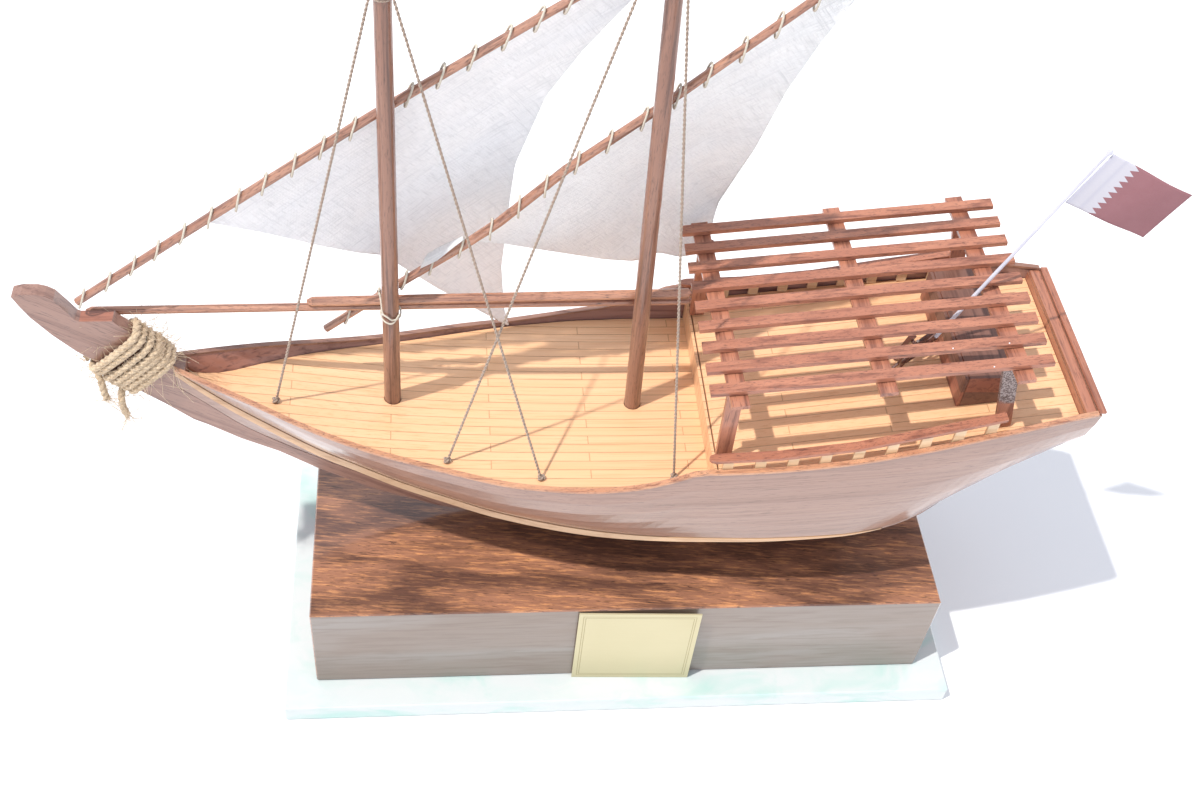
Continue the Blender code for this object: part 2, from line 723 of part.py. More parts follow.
def build_caps(into):
    rings = []
    for x in [BOW_START, *FORE_STATIONS, *AFT_STATIONS, LEDGE_END - GAP]:
        outer = along(SHEER, "half", x)
        inner = max(outer - CAP_WIDTH, CAP_INNER_LEAST)
        top = along(SHEER, "z", x)
        low = top - CAP_THICK
        rings.append([(x, -inner, low), (x, -outer, low), (x, -outer, top), (x, -inner, top)])
    port = loft("gunwale_cap_port", rings, "red_wood", into)
    other_side(port, "gunwale_cap_starboard", into)


def build_strakes(into):
    """Pale strips that lie in the hull's rabbets."""
    rings = []
    for x in [BOW_START, *[x for x in FORE_STATIONS + AFT_STATIONS if x < STRAKE_END], STRAKE_END - GAP]:
        outer = along(CHINE, "half", x) + STRAKE_PROUD
        inner = along(CHINE, "half", x) - along(CHINE, "rabbet", x) + GAP
        low = along(CHINE, "z", x)
        top = low + along(CHINE, "tall", x)
        rings.append([(x, -inner, low), (x, -outer, low), (x, -outer, top), (x, -inner, top)])
    port = loft("strake_port", rings, "pale_wood", into)
    other_side(port, "strake_starboard", into)


def build_board(into):
    """Keel, stem and sternpost as one flat board under and before the hull."""
    stations = [BOW_START, *[x for x in FORE_STATIONS + AFT_STATIONS if x < BOARD_AFT_END]]
    upper = [Point(x, along(CHINE, "keel", x) - BOARD_CLEAR) for x in stations]
    upper[0] = Point(BOARD_HEAD[-1].x, upper[0].z)
    lower = [*BOARD_FOOT, STERNPOST_HEEL, STERNPOST_HEAD, STERNPOST_TOP]
    outline = [*lower, *reversed(upper), *reversed(BOARD_HEAD)]
    flat_outline("stem_keel_board", outline, BOARD_HALF, "red_wood", into)


def build_transom_rail(into):
    half = along(SHEER, "half", RAIL_END) - RAIL_INSET
    low = (LEDGE_END + GAP, -half, RAIL_TOP - RAIL_THICK)
    high = (RAIL_END + RAIL_PROUD, half, RAIL_TOP)
    bevel_edges(box_from_to("transom_rail", low, high, "red_wood", into), RAIL_EASE)


def build_base(into):
    low = Vector((-SLAB_LENGTH / 2, -SLAB_WIDTH / 2, 0))
    high = Vector((SLAB_LENGTH / 2, SLAB_WIDTH / 2, SLAB_HEIGHT))
    bevel_edges(box_from_to("base_slab", low, high, "stone", into), EDGE)
    low = Vector((-BLOCK_LENGTH / 2, -BLOCK_WIDTH / 2, BLOCK_FOOT))
    high = Vector((BLOCK_LENGTH / 2, BLOCK_WIDTH / 2, BLOCK_TOP))
    bevel_edges(box_from_to("plinth_block", low, high, "block_wood", into), EDGE)
    place = at(PLATE_CENTRE_X, PLATE_CENTRE_Y, SLAB_HEIGHT + GAP + PLATE_HEIGHT / 2)
    place = place @ Matrix.Rotation(math.radians(PLATE_TURN), 4, "Z")
    box("name_plate", (PLATE_WIDTH, PLATE_THICK, PLATE_HEIGHT), place, "brass", into)


def build_rudder(into):
    """Tapered blade behind the raking sternpost, with its origin on the joint's axis."""
    lean = (STERNPOST_HEAD.x - STERNPOST_HEEL.x) / (STERNPOST_HEAD.z - STERNPOST_HEEL.z)
    rings = []
    for row in RUDDER:
        nose = STERNPOST_HEEL.x + lean * (row.z - STERNPOST_HEEL.z) + RUDDER_GAP * math.hypot(1, lean)
        half = [(nose, RUDDER_NOSE), (nose + RUDDER_SHOULDER, RUDDER_HALF), (nose + row.depth, RUDDER_TAIL)]
        rings.append([(x, y, row.z) for x, y in half + [(x, -y) for x, y in reversed(half)]])
    loft("rudder", rings, "red_wood", into, origin=RUDDER_PIVOT)


# Rig


def mast_line(mast):
    """Foot and top of a mast's centre line."""
    foot = Vector((mast.foot_x, 0.0, deck_top(mast.foot_x) - MAST_SOCKET))
    return foot, Vector((mast.top_x, 0.0, mast.top_z))


def build_masts(hull, main_deck, into, cutters):
    for mast in MASTS.values():
        foot, top = mast_line(mast)
        radii = [MAST_RADIUS_FOOT, MAST_RADIUS_TOP, MAST_RADIUS_TOP - MAST_CHAMFER_IN]
        tube(mast.name, [foot, top - UP * MAST_CHAMFER, top], radii, 8, "red_wood", into)
        below = foot - (top - foot).normalized() * GAP
        above = foot.lerp(top, SOCKET_REACH)
        socket = rod(mast.name + "_socket", below, above, MAST_RADIUS_FOOT + GAP, 20, "red_wood", cutters)
        combine(hull, socket, "DIFFERENCE")
        combine(main_deck, socket, "DIFFERENCE")


def yard_radius(share):
    return YARD_RADIUS - YARD_TAPER * abs(share - YARD_THICKEST)


def build_yards(into):
    for name, route in YARDS.items():
        shares = [i / (YARD_POINTS - 1) for i in range(YARD_POINTS)]
        points = [route_at(route, share) for share in shares]
        tube(name, points, [yard_radius(share) for share in shares], 3, "red_wood", into)


def build_spars(into):
    for spar in SPARS:
        start, end = Vector(spar.start), Vector(spar.end)
        taper = (end - start).normalized() * SPAR_TAPER
        radii = [spar.radius * SPAR_NOSE, spar.radius, spar.radius, spar.radius * SPAR_TAIL]
        tube(spar.name, [start, start + taper, end - taper / 2, end], radii, 3, "red_wood", into)


def build_sail(sail, into):
    """A lateen sail ruled from its yard to its free edge."""
    route = YARDS[sail.yard]

    def point(share, fall):
        place = sail.head_start + (sail.head_end - sail.head_start) * share
        head = route_at(route, place) + Vector((0, YARD_RADIUS + GAP + SAIL_THICK, -SAIL_DROP))
        low = route_at(sail.edge, share)
        belly = SAIL_BELLY * math.sin(math.pi * fall) * math.sin(math.pi * share)
        return head.lerp(low, fall) + Vector((0, belly, 0))

    sheet(sail.name, point, SAIL_COLUMNS, SAIL_ROWS, SAIL_THICK, "cloth", into)


def build_shrouds(into):
    for shroud in SHROUDS:
        mast = MASTS[shroud.mast]
        foot, top = mast_line(mast)
        hounds = foot.lerp(top, (mast.shroud_z - foot.z) / (top.z - foot.z))
        low = Vector((shroud.foot_x, shroud.foot_y, deck_top(shroud.foot_x) + SHROUD_CLEAR))
        away = Vector((low.x - hounds.x, low.y - hounds.y, 0)).normalized()
        start = hounds + away * (MAST_RADIUS_TOP + SHROUD_RADIUS + SHROUD_CLEAR)
        tube(shroud.name, [start, low], [SHROUD_RADIUS] * 2, 1, "cord", into)


# Poop


def roof_top(x):
    return ROOF_START_Z + (ROOF_END_Z - ROOF_START_Z) * (x - SLAT_START) / (SLAT_END - SLAT_START)


def build_roof(into):
    for i in range(SLATS):
        y = (i - (SLATS - 1) / 2) * SLAT_PITCH
        start = Vector((SLAT_START, y, ROOF_START_Z - SLAT_THICK / 2))
        end = Vector((SLAT_END, y, ROOF_END_Z - SLAT_THICK / 2))
        bar(f"roof_slat_{i + 1}", start, end, SLAT_WIDTH, SLAT_THICK, Vector((0, 1, 0)), "red_wood", into)
    lean = Vector((SLAT_END - SLAT_START, 0, ROOF_END_Z - ROOF_START_Z))
    for i, beam in enumerate(BEAMS):
        z = roof_top(beam.x - BEAM_SKEW) - SLAT_THICK - GAP - BEAM_THICK / 2
        start = Vector((beam.x + BEAM_SKEW, -beam.port, z))
        end = Vector((beam.x - BEAM_SKEW, beam.starboard, z))
        bar(f"roof_beam_{i + 1}", start, end, BEAM_WIDTH, BEAM_THICK, lean, "red_wood", into)
    for post in POSTS:
        foot = Vector((post.foot_x, post.foot_y, poop_top(post.foot_x - POST_WIDTH / 2) + POST_FOOT_CLEAR))
        under = roof_top(post.top_x - POST_WIDTH / 2) - SLAT_THICK - BEAM_THICK - 2 * GAP - POST_TOP_CLEAR
        top = Vector((post.top_x, post.top_y, under))
        bar(post.name, foot, top, POST_WIDTH, POST_THICK, Vector((1, 0, 0)), "red_wood", into)


def build_side_rails(into, cutters):
    for name, side in (("side_rail_port", -1), ("side_rail_starboard", 1)):
        rings = []
        for row in RAIL_LINE:
            near = side * (row.outer - SIDE_RAIL_WIDTH + row.nose)
            far = side * (row.outer - row.nose)
            low = row.top - SIDE_RAIL_THICK
            corners = [(near, low), (far, low), (far, row.top), (near, row.top)]
            rings.append([(row.x, y, z) for y, z in corners])
        rail = loft(name, rings, "red_wood", into)
        rail_x, rail_top = zip(*[(row.x, row.top) for row in RAIL_LINE])
        shape = bmesh.new()
        for i in range(BALUSTERS):
            x = BALUSTER_FIRST + i * BALUSTER_PITCH
            outer = inside_at(x, poop_top(x) - DECK_THICK, poop_top(x)) - BALUSTER_INSET
            low = poop_top(x + BALUSTER_WIDTH / 2) + GAP
            high = float(np.interp(x, rail_x, rail_top)) - SIDE_RAIL_THICK / 2
            size = Matrix.Diagonal((BALUSTER_WIDTH, BALUSTER_THICK, high - low, 1.0))
            middle = at(x, side * (outer - BALUSTER_THICK / 2), (low + high) / 2)
            bmesh.ops.create_cube(shape, size=MM, matrix=middle @ size)
        combine(rail, mesh_object(name + "_balusters", shape, "pale_wood", cutters, Matrix()), "UNION")


def build_bench(into):
    rings = []
    for x, top in ((BENCH_FRONT, BENCH_TOP_FRONT), (BENCH_BACK, BENCH_TOP_BACK)):
        low = poop_top(x) + GAP
        rings.append([(x, BENCH_NEAR, low), (x, BENCH_FAR, low), (x, BENCH_FAR, top), (x, BENCH_NEAR, top)])
    loft("bench", rings, "dark_wood", into)
    back = BENCH_FRONT - GAP
    box_from_to("bench_front_board", (back - BENCH_BOARD_THICK, BENCH_NEAR, poop_top(back) + GAP),
                (back, BENCH_FAR, BENCH_BOARD_TOP), "red_wood", into)


def build_wheel(into, cutters):
    """Steering wheel with its origin on its axle, and the stand that carries it."""
    across = WHEEL_NORMAL.cross(UP).normalized()
    up = across.cross(WHEEL_NORMAL)
    bpy.ops.mesh.primitive_torus_add(
        major_segments=40,
        minor_segments=8,
        major_radius=(WHEEL_RADIUS - WHEEL_RIM) * MM,
        minor_radius=WHEEL_RIM * MM,
    )
    rim = bpy.context.object
    rim.name = "steering_wheel"
    facing = WHEEL_NORMAL.to_track_quat("Z", "Y").to_matrix().to_4x4()
    rim.matrix_world = Matrix.Translation(WHEEL_CENTRE * MM) @ facing
    rim.data.shade_smooth()
    rim.data.materials.append(material("dark_wood"))
    for holder in list(rim.users_collection):
        holder.objects.unlink(rim)
    into.objects.link(rim)
    for i in range(WHEEL_SPOKES // 2):
        turn = 2 * math.pi * i / WHEEL_SPOKES + SPOKE_TURN
        out = (across * math.cos(turn) + up * math.sin(turn)) * WHEEL_REACH
        near, far = WHEEL_CENTRE - out, WHEEL_CENTRE + out
        combine(rim, rod(f"wheel_spoke_{i + 1}", near, far, SPOKE_RADIUS, 8, "dark_wood", cutters), "UNION")
    axle = WHEEL_NORMAL * HUB_HALF
    near, far = WHEEL_CENTRE - axle, WHEEL_CENTRE + axle
    combine(rim, rod("wheel_hub", near, far, HUB_RADIUS, 16, "dark_wood", cutters), "UNION")
    near, far = WHEEL_CENTRE - 2 * axle, WHEEL_CENTRE + 2 * axle
    combine(rim, rod("wheel_bore", near, far, BORE_RADIUS, 12, "dark_wood", cutters), "DIFFERENCE")
    back = WHEEL_CENTRE - WHEEL_NORMAL * STAND_BACK
    front = WHEEL_CENTRE + WHEEL_NORMAL * PIN_FRONT
    stand = rod("wheel_stand", back, front, PIN_RADIUS, 12, "dark_wood", into)
    fall = (back.z - poop_top(back.x) - STAND_CLEAR) / up.z
    low, high = back - up * fall, back + up * STAND_ABOVE
    post = bar("wheel_stand_post", low, high, STAND_WIDTH, STAND_THICK, across, "dark_wood", cutters)
    combine(stand, post, "UNION")


def build_flag(into):
    above = [STAFF_BEND.lerp(STAFF_TIP, share) for share in (WIRE_FROM, WIRE_TO, KNOB_AT)]
    radii = [STAFF_RADIUS, STAFF_RADIUS, WIRE_RADIUS, WIRE_RADIUS, KNOB_RADIUS, WIRE_RADIUS]
    tube("flag_staff", [STAFF_FOOT, STAFF_BEND, *above, STAFF_TIP], radii, 2, "white", into)

    def point(share, fall):
        high = FLAG_HIGH_IN.lerp(FLAG_HIGH_OUT, share)
        return high.lerp(FLAG_LOW_IN.lerp(FLAG_LOW_OUT, share), fall)

    sheet("flag", point, 6, 4, FLAG_THICK, "maroon", into)


def build_lashing(into):
    """Rope wound round the stem as one closed coil, and its two free ends."""
    axis = (LASHING_END - LASHING_START).normalized()
    wide = Vector((axis.z, 0, -axis.x))
    points = []
    steps = LASHING_TURNS * LASHING_STEPS
    for i in range(steps + 1):
        share = i / steps
        reach = LASHING_REACH_START + (LASHING_REACH_END - LASHING_REACH_START) * share
        a, b = math.cos(2 * math.pi * i / LASHING_STEPS), math.sin(2 * math.pi * i / LASHING_STEPS)
        square = (abs(a) ** LASHING_SQUARE + abs(b) ** LASHING_SQUARE) ** (-1 / LASHING_SQUARE)
        offset = wide * (a * square * reach) + Vector((0, b * square * LASHING_SIDE, 0))
        points.append(LASHING_START.lerp(LASHING_END, share) + offset)
    tube("stem_lashing", points, [LASHING_RADIUS] * len(points), 1, "jute", into)
    for name, route in ROPE_ENDS.items():
        points = smooth_route(route, ROPE_END_POINTS)
        tube(name, points, [LASHING_RADIUS] * ROPE_END_POINTS, 2, "jute", into)


def main():
    clear_scene()
    parts = collection("dhow_model")
    cutters = collection("cutters")
    build_base(parts)
    hull = build_hull(parts)
    main_deck = build_decks(parts)
    build_caps(parts)
    build_strakes(parts)
    build_board(parts)
    build_transom_rail(parts)
    build_rudder(parts)
    build_masts(hull, main_deck, parts, cutters)
    build_yards(parts)
    build_spars(parts)
    for sail in SAILS:
        build_sail(sail, parts)
    build_shrouds(parts)
    build_roof(parts)
    build_side_rails(parts, cutters)
    build_bench(parts)
    build_wheel(parts, cutters)
    build_flag(parts)
    build_lashing(parts)


main()
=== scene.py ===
"""Looks for the display model of a dhow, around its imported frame.

Lengths are in metres. -X is the bow, and +Y is starboard.
"""

import math
import random
from collections import namedtuple

import bmesh
import bpy
from mathutils import Matrix, Vector


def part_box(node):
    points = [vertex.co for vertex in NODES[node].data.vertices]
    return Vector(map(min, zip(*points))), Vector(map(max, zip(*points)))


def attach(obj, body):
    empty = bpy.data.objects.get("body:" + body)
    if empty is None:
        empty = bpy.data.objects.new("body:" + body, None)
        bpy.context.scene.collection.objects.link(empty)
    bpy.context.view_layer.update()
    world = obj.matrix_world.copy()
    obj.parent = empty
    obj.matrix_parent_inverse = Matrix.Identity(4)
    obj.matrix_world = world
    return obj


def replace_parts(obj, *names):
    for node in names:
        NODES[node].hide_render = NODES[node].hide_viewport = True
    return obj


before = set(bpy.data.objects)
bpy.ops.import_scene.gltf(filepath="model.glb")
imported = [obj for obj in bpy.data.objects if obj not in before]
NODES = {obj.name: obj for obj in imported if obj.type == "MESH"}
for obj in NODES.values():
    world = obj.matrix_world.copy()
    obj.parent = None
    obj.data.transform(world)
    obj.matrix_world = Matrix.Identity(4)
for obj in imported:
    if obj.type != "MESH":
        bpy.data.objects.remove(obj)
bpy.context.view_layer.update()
BOAT = "boat"


# Shading helpers


class Shader:
    """A material's node tree, with short calls for the nodes used here."""

    def __init__(self, name):
        self.material = bpy.data.materials.new(name)
        self.material.use_nodes = True
        self.tree = self.material.node_tree
        self.bsdf = self.tree.nodes["Principled BSDF"]
        self.out = self.tree.nodes["Material Output"]
        self.coords = self.tree.nodes.new("ShaderNodeTexCoord")

    def put(self, socket, value):
        if isinstance(value, bpy.types.NodeSocket):
            self.tree.links.new(value, socket)
        else:
            socket.default_value = value

    def set(self, **values):
        for key, value in values.items():
            self.put(self.bsdf.inputs[key.replace("_", " ")], value)

    def mapping(self, turn=(0, 0, 0), scale=(1, 1, 1), source=None):
        node = self.tree.nodes.new("ShaderNodeMapping")
        self.tree.links.new(source or self.coords.outputs["Object"], node.inputs["Vector"])
        node.inputs["Rotation"].default_value = turn
        node.inputs["Scale"].default_value = scale
        return node.outputs["Vector"]

    def noise(self, vector, detail, rough=0.55, distort=0.0):
        node = self.tree.nodes.new("ShaderNodeTexNoise")
        self.tree.links.new(vector, node.inputs["Vector"])
        node.inputs["Scale"].default_value = 1.0
        node.inputs["Detail"].default_value = detail
        node.inputs["Roughness"].default_value = rough
        node.inputs["Distortion"].default_value = distort
        return node.outputs["Fac"]

    def ramp(self, fac, stops):
        node = self.tree.nodes.new("ShaderNodeValToRGB")
        self.tree.links.new(fac, node.inputs["Fac"])
        items = node.color_ramp.elements
        while len(items) < len(stops):
            items.new(0.5)
        for item, (place, colour) in zip(items, stops):
            item.position = place
            item.color = (*colour, 1) if hasattr(colour, "__len__") else (colour, colour, colour, 1)
        return node.outputs["Color"]

    def mix(self, fac, a, b):
        node = self.tree.nodes.new("ShaderNodeMix")
        node.data_type = "RGBA"
        self.put(node.inputs[0], fac)
        for socket, value in ((node.inputs[6], a), (node.inputs[7], b)):
            self.put(socket, (*value, 1) if isinstance(value, tuple) and len(value) == 3 else value)
        return node.outputs[2]

    def math(self, kind, a, b=0.0):
        node = self.tree.nodes.new("ShaderNodeMath")
        node.operation = kind
        for socket, value in zip(node.inputs, (a, b)):
            self.put(socket, value)
        return node.outputs[0]

    def split(self, vector):
        node = self.tree.nodes.new("ShaderNodeSeparateXYZ")
        self.tree.links.new(vector, node.inputs[0])
        return node.outputs

    def join(self, x, y, z):
        node = self.tree.nodes.new("ShaderNodeCombineXYZ")
        for socket, value in zip(node.inputs, (x, y, z)):
            self.put(socket, value)
        return node.outputs[0]

    def bump(self, height, distance):
        node = self.tree.nodes.new("ShaderNodeBump")
        self.tree.links.new(height, node.inputs["Height"])
        node.inputs["Distance"].default_value = distance
        self.tree.links.new(node.outputs["Normal"], self.bsdf.inputs["Normal"])


FIGURE, BANDS, PORES = (7, 55, 55), (9, 260, 260), (130, 1500, 1500)  # of wood, per metre along and across


def grained(s, base, light, mid, dark):
    """Colour of wood from its broad figure and its dark bands, and those bands."""
    figure = s.noise(s.mapping(scale=FIGURE, source=base), 3, 0.5, 0.6)
    bands = s.noise(s.mapping(scale=BANDS, source=base), 4, 0.55, 0.4)
    colour = s.mix(s.ramp(figure, [(0.30, 0.0), (0.72, 1.0)]), mid, light)
    darker = s.math("MULTIPLY", s.ramp(bands, [(0.50, 0.0), (0.68, 1.0)]), 0.75)
    return s.mix(darker, colour, dark), bands


def wood(name, light, mid, dark, turn=(0, 0, 0), size=1.0, fleck=0.5, coat=0.5, coat_rough=0.12):
    """Varnished wood, its grain along the turned X axis."""
    s = Shader(name)
    base = s.mapping(turn=turn, scale=(1 / size, 1 / size, 1 / size))
    colour, bands = grained(s, base, light, mid, dark)
    pores = s.noise(s.mapping(scale=PORES, source=base), 3, 0.6)
    flecks = s.math("MULTIPLY", s.ramp(pores, [(0.56, 0.0), (0.66, 1.0)]), fleck)
    colour = s.mix(flecks, colour, tuple(0.45 * v for v in dark))
    s.set(Base_Color=colour, Roughness=s.ramp(bands, [(0.3, 0.38), (0.8, 0.50)]))
    s.set(Coat_Weight=coat, Coat_Roughness=coat_rough)
    s.bump(s.math("SUBTRACT", s.math("MULTIPLY", bands, 0.4), flecks), 0.00006)
    return s.material


def smooth(thing, degrees=35):
    """Smooth shading, with edges sharper than this kept."""
    mesh = thing.data
    mesh.polygons.foreach_set("use_smooth", [True] * len(mesh.polygons))
    mesh.set_sharp_from_angle(angle=math.radians(degrees))
    mesh.update()


def dress(names, material, degrees=35):
    for name in names:
        node = NODES[name]
        node.data.materials.clear()
        node.data.materials.append(material)
        smooth(node, degrees)


def named(*starts):
    """CAD nodes whose names start so."""
    return [name for name in sorted(NODES) if name.startswith(starts)]


RAIL_SLACK = 0.0003
RAIL_UNDERSIDE = (  # along the hull, and the height of the side rails' lower face
    (0.0300, 0.2260),
    (0.0340, 0.2262),
    (0.0688, 0.2283),
    (0.1136, 0.2350),
    (0.1572, 0.2462),
    (0.1960, 0.2560),
)


def rail_underside(x):
    for (x0, z0), (x1, z1) in zip(RAIL_UNDERSIDE, RAIL_UNDERSIDE[1:]):
        if x <= x1:
            return z0 + (z1 - z0) * (x - x0) / (x1 - x0)
    return RAIL_UNDERSIDE[-1][1]


# Camera, light and floor

CAMERA_PLACE = Vector((-0.1252, -0.5722, 0.8454))
CAMERA_AXES = ((0.9932, -0.0811, 0.0838), (0.0053, 0.7492, 0.6624), (-0.1165, -0.6574, 0.7445))
CAMERA_LENS, CAMERA_SENSOR = 43.13, 36.0  # in millimetres
SUN_TRAVEL = Vector((0.4216, 0.1979, -0.8849))
SUN_ENERGY, SUN_WIDTH = 3.3, math.radians(1.2)
SKY_COLOUR, SKY_STRENGTH = (0.86, 0.90, 1.0, 1), 0.95
FLOOR_SIZE, FLOOR_DROP = 30, 0.0005


def add_camera():
    data = bpy.data.cameras.new("camera")
    data.sensor_width = CAMERA_SENSOR
    data.lens = CAMERA_LENS
    data.clip_start, data.clip_end = 0.01, 50.0
    camera = bpy.data.objects.new("camera", data)
    bpy.context.scene.collection.objects.link(camera)
    turn = Matrix([Vector(axis).normalized() for axis in CAMERA_AXES]).transposed()
    camera.matrix_world = Matrix.Translation(CAMERA_PLACE) @ turn.to_4x4()
    bpy.context.scene.camera = camera


def add_light():
    sun = bpy.data.lights.new("sun", "SUN")
    sun.energy = SUN_ENERGY
    sun.angle = SUN_WIDTH
    sun.color = (1.0, 0.97, 0.93)
    lamp = bpy.data.objects.new("sun", sun)
    bpy.context.scene.collection.objects.link(lamp)
    lamp.rotation_mode = "QUATERNION"
    lamp.rotation_quaternion = SUN_TRAVEL.to_track_quat("-Z", "Y")
    world = bpy.data.worlds.new("sky")
    bpy.context.scene.world = world
    world.use_nodes = True
    background = world.node_tree.nodes["Background"]
    background.inputs["Color"].default_value = SKY_COLOUR
    background.inputs["Strength"].default_value = SKY_STRENGTH
    settings = bpy.context.scene.view_settings
    settings.view_transform = "Standard"
    settings.look = "None"


def add_floor():
    s = Shader("pale_floor")
    tone = s.noise(s.mapping(scale=(3, 3, 3)), 3)
    s.set(Base_Color=s.ramp(tone, [(0.3, (0.90, 0.90, 0.91)), (0.7, (0.93, 0.93, 0.93))]), Roughness=0.85)
    bpy.ops.mesh.primitive_plane_add(size=FLOOR_SIZE, location=(0, 0, -FLOOR_DROP))
    floor = bpy.context.active_object
    floor.name = "floor"
    floor.data.materials.append(s.material)


# Materials

UPRIGHT, ATHWART = (0, math.pi / 2, 0), (0, 0, math.pi / 2)  # turns of the grain
YARD_SLOPE, STEM_SLOPE = math.radians(38), math.radians(-32)
PLANK_PITCH, PLANK_LENGTH = 0.00645, 0.1156
PLANK_START, PLANK_MIDDLE = -0.2065, 0.00015  # of the deck's butts along it, and its middle seam
BULWARK_RED, BULWARK_FADE = -0.2625, 0.0625  # where its red begins to fade, and over which length
BENCH_BAND = 0.2455  # height at which the bench's boards meet
GLUE_FOOT, GLUE_RAGGED, GLUE_FADE = 0.262, 0.008, 0.0025  # of the glue on one post, and its lower edge
STEM_STEP = (-0.3135, -0.2975)  # along the hull, the step in the stem's upper edge
HULL_STEP = 0.24  # along the hull, the transom's step lies aft of it
STRAKE_TOP = 0.185  # height over which a face of the hull can be the bulwark's inner side
EASED_EDGE, EASED_FROM = 0.00035, math.radians(40)
CLOTH_THIN = 0.35  # share of the light that shines through the sails
PLATE_LINES = (0.0030, 0.0044)  # from the plate's edge
PLATE_LINE_HALF = 0.00022
FLAG_TEETH, FLAG_TOOTH, FLAG_BAND = 9.0, 0.17, 0.27  # their number, depth and start as shares of the flag
RED = {
    "light": (0.50, 0.210, 0.125),
    "mid": (0.36, 0.135, 0.080),
    "dark": (0.15, 0.048, 0.030),
}


def deck_material():
    """Planks with dark seams, whose butts lie half a plank apart from row to row."""
    s = Shader("deck_planks")
    x, y, z = s.split(s.coords.outputs["Object"])
    row = s.math("DIVIDE", s.math("SUBTRACT", y, PLANK_MIDDLE), PLANK_PITCH)
    number = s.math("FLOOR", row)
    across = s.math("SUBTRACT", row, number)
    side = s.math("ABSOLUTE", s.math("SUBTRACT", across, 0.5))
    seam = s.ramp(side, [(0.455, 0.0), (0.49, 1.0)])
    odd = s.math("FLOORED_MODULO", number, 2.0)
    place = s.math("DIVIDE", s.math("SUBTRACT", x, PLANK_START), PLANK_LENGTH)
    place = s.math("ADD", place, s.math("MULTIPLY", odd, 0.5))
    length = s.math("FLOOR", place)
    along = s.math("ABSOLUTE", s.math("SUBTRACT", s.math("SUBTRACT", place, length), 0.5))
    end = s.ramp(along, [(0.4974, 0.0), (0.4990, 1.0)])
    seed = s.join(number, length, 0.0)
    white = s.tree.nodes.new("ShaderNodeTexWhiteNoise")
    white.noise_dimensions = "3D"
    s.tree.links.new(seed, white.inputs["Vector"])
    tone = white.outputs["Value"]
    shifted = s.join(s.math("ADD", x, s.math("MULTIPLY", tone, 3.0)), s.math("ADD", y, tone), z)
    grain = s.noise(s.mapping(scale=(14, 900, 900), source=shifted), 4, 0.6, 0.3)
    figure = s.noise(s.mapping(scale=(8, 160, 160), source=shifted), 2, 0.5, 0.8)
    colour = s.mix(figure, (0.83, 0.47, 0.24), (0.89, 0.56, 0.33))
    streaks = s.math("MULTIPLY", s.ramp(grain, [(0.52, 0.0), (0.70, 1.0)]), 0.50)
    colour = s.mix(streaks, colour, (0.64, 0.30, 0.13))
    colour = s.mix(s.math("MULTIPLY", tone, 0.22), colour, (0.70, 0.36, 0.17))
    uneven = s.ramp(s.noise(s.mapping(scale=(25, 160, 1)), 2), [(0.25, 0.5), (0.6, 1.0)])
    lines = s.math("MAXIMUM", s.math("MULTIPLY", seam, uneven), s.math("MULTIPLY", end, 0.75))
    colour = s.mix(s.math("MULTIPLY", lines, 0.85), colour, (0.30, 0.13, 0.050))
    s.set(Base_Color=colour, Roughness=0.42, Coat_Weight=0.25, Coat_Roughness=0.25)
    s.bump(s.math("SUBTRACT", s.math("MULTIPLY", grain, 0.2), lines), 0.00015)
    return s.material


def slab_material():
    s = Shader("clouded_slab")
    clouds = s.noise(s.mapping(scale=(16, 22, 40)), 4, 0.55, 0.9)
    fine = s.noise(s.mapping(scale=(45, 70, 90)), 3, 0.6, 0.5)
    colour = s.mix(s.ramp(fine, [(0.42, 0.0), (0.80, 1.0)]), (0.61, 0.645, 0.64), (0.55, 0.64, 0.62))
    colour = s.mix(s.ramp(clouds, [(0.52, 0.0), (0.68, 0.7), (0.80, 1.0)]), colour, (0.36, 0.60, 0.54))
    s.set(Base_Color=colour, Roughness=0.30, Coat_Weight=0.3, Coat_Roughness=0.1)
    s.bump(fine, 0.0001)
    return s.material


def block_material():
    s = Shader("dark_block")
    base = s.mapping(turn=(0.03, 0.04, 0.10))
    figure = s.noise(s.mapping(scale=(6, 24, 24), source=base), 3, 0.5, 1.8)
    streak = s.noise(s.mapping(scale=(60, 620, 620), source=base), 5, 0.65, 0.5)
    pores = s.noise(s.mapping(scale=(110, 1300, 1300), source=base), 3, 0.6)
    colour = s.mix(s.ramp(figure, [(0.38, 0.0), (0.62, 1.0)]), (0.115, 0.050, 0.032), (0.34, 0.155, 0.088))
    where = s.ramp(figure, [(0.35, 0.25), (0.7, 1.0)])
    bright = s.math("MULTIPLY", s.ramp(streak, [(0.50, 0.0), (0.66, 1.0)]), where)
    colour = s.mix(bright, colour, (0.74, 0.34, 0.14))
    dashes = s.math("MULTIPLY", s.ramp(pores, [(0.57, 0.0), (0.66, 1.0)]), 0.7)
    colour = s.mix(dashes, colour, (0.028, 0.012, 0.010))
    cracks = s.noise(s.mapping(scale=(24, 120, 120), source=base), 5, 0.7, 1.5)
    colour = s.mix(s.ramp(cracks, [(0.64, 0.0), (0.70, 0.85)]), colour, (0.030, 0.012, 0.010))
    s.set(Base_Color=colour, Roughness=0.36, Coat_Weight=1.0, Coat_Roughness=0.10, Coat_IOR=1.5)
    s.bump(pores, 0.00004)
    return s.material


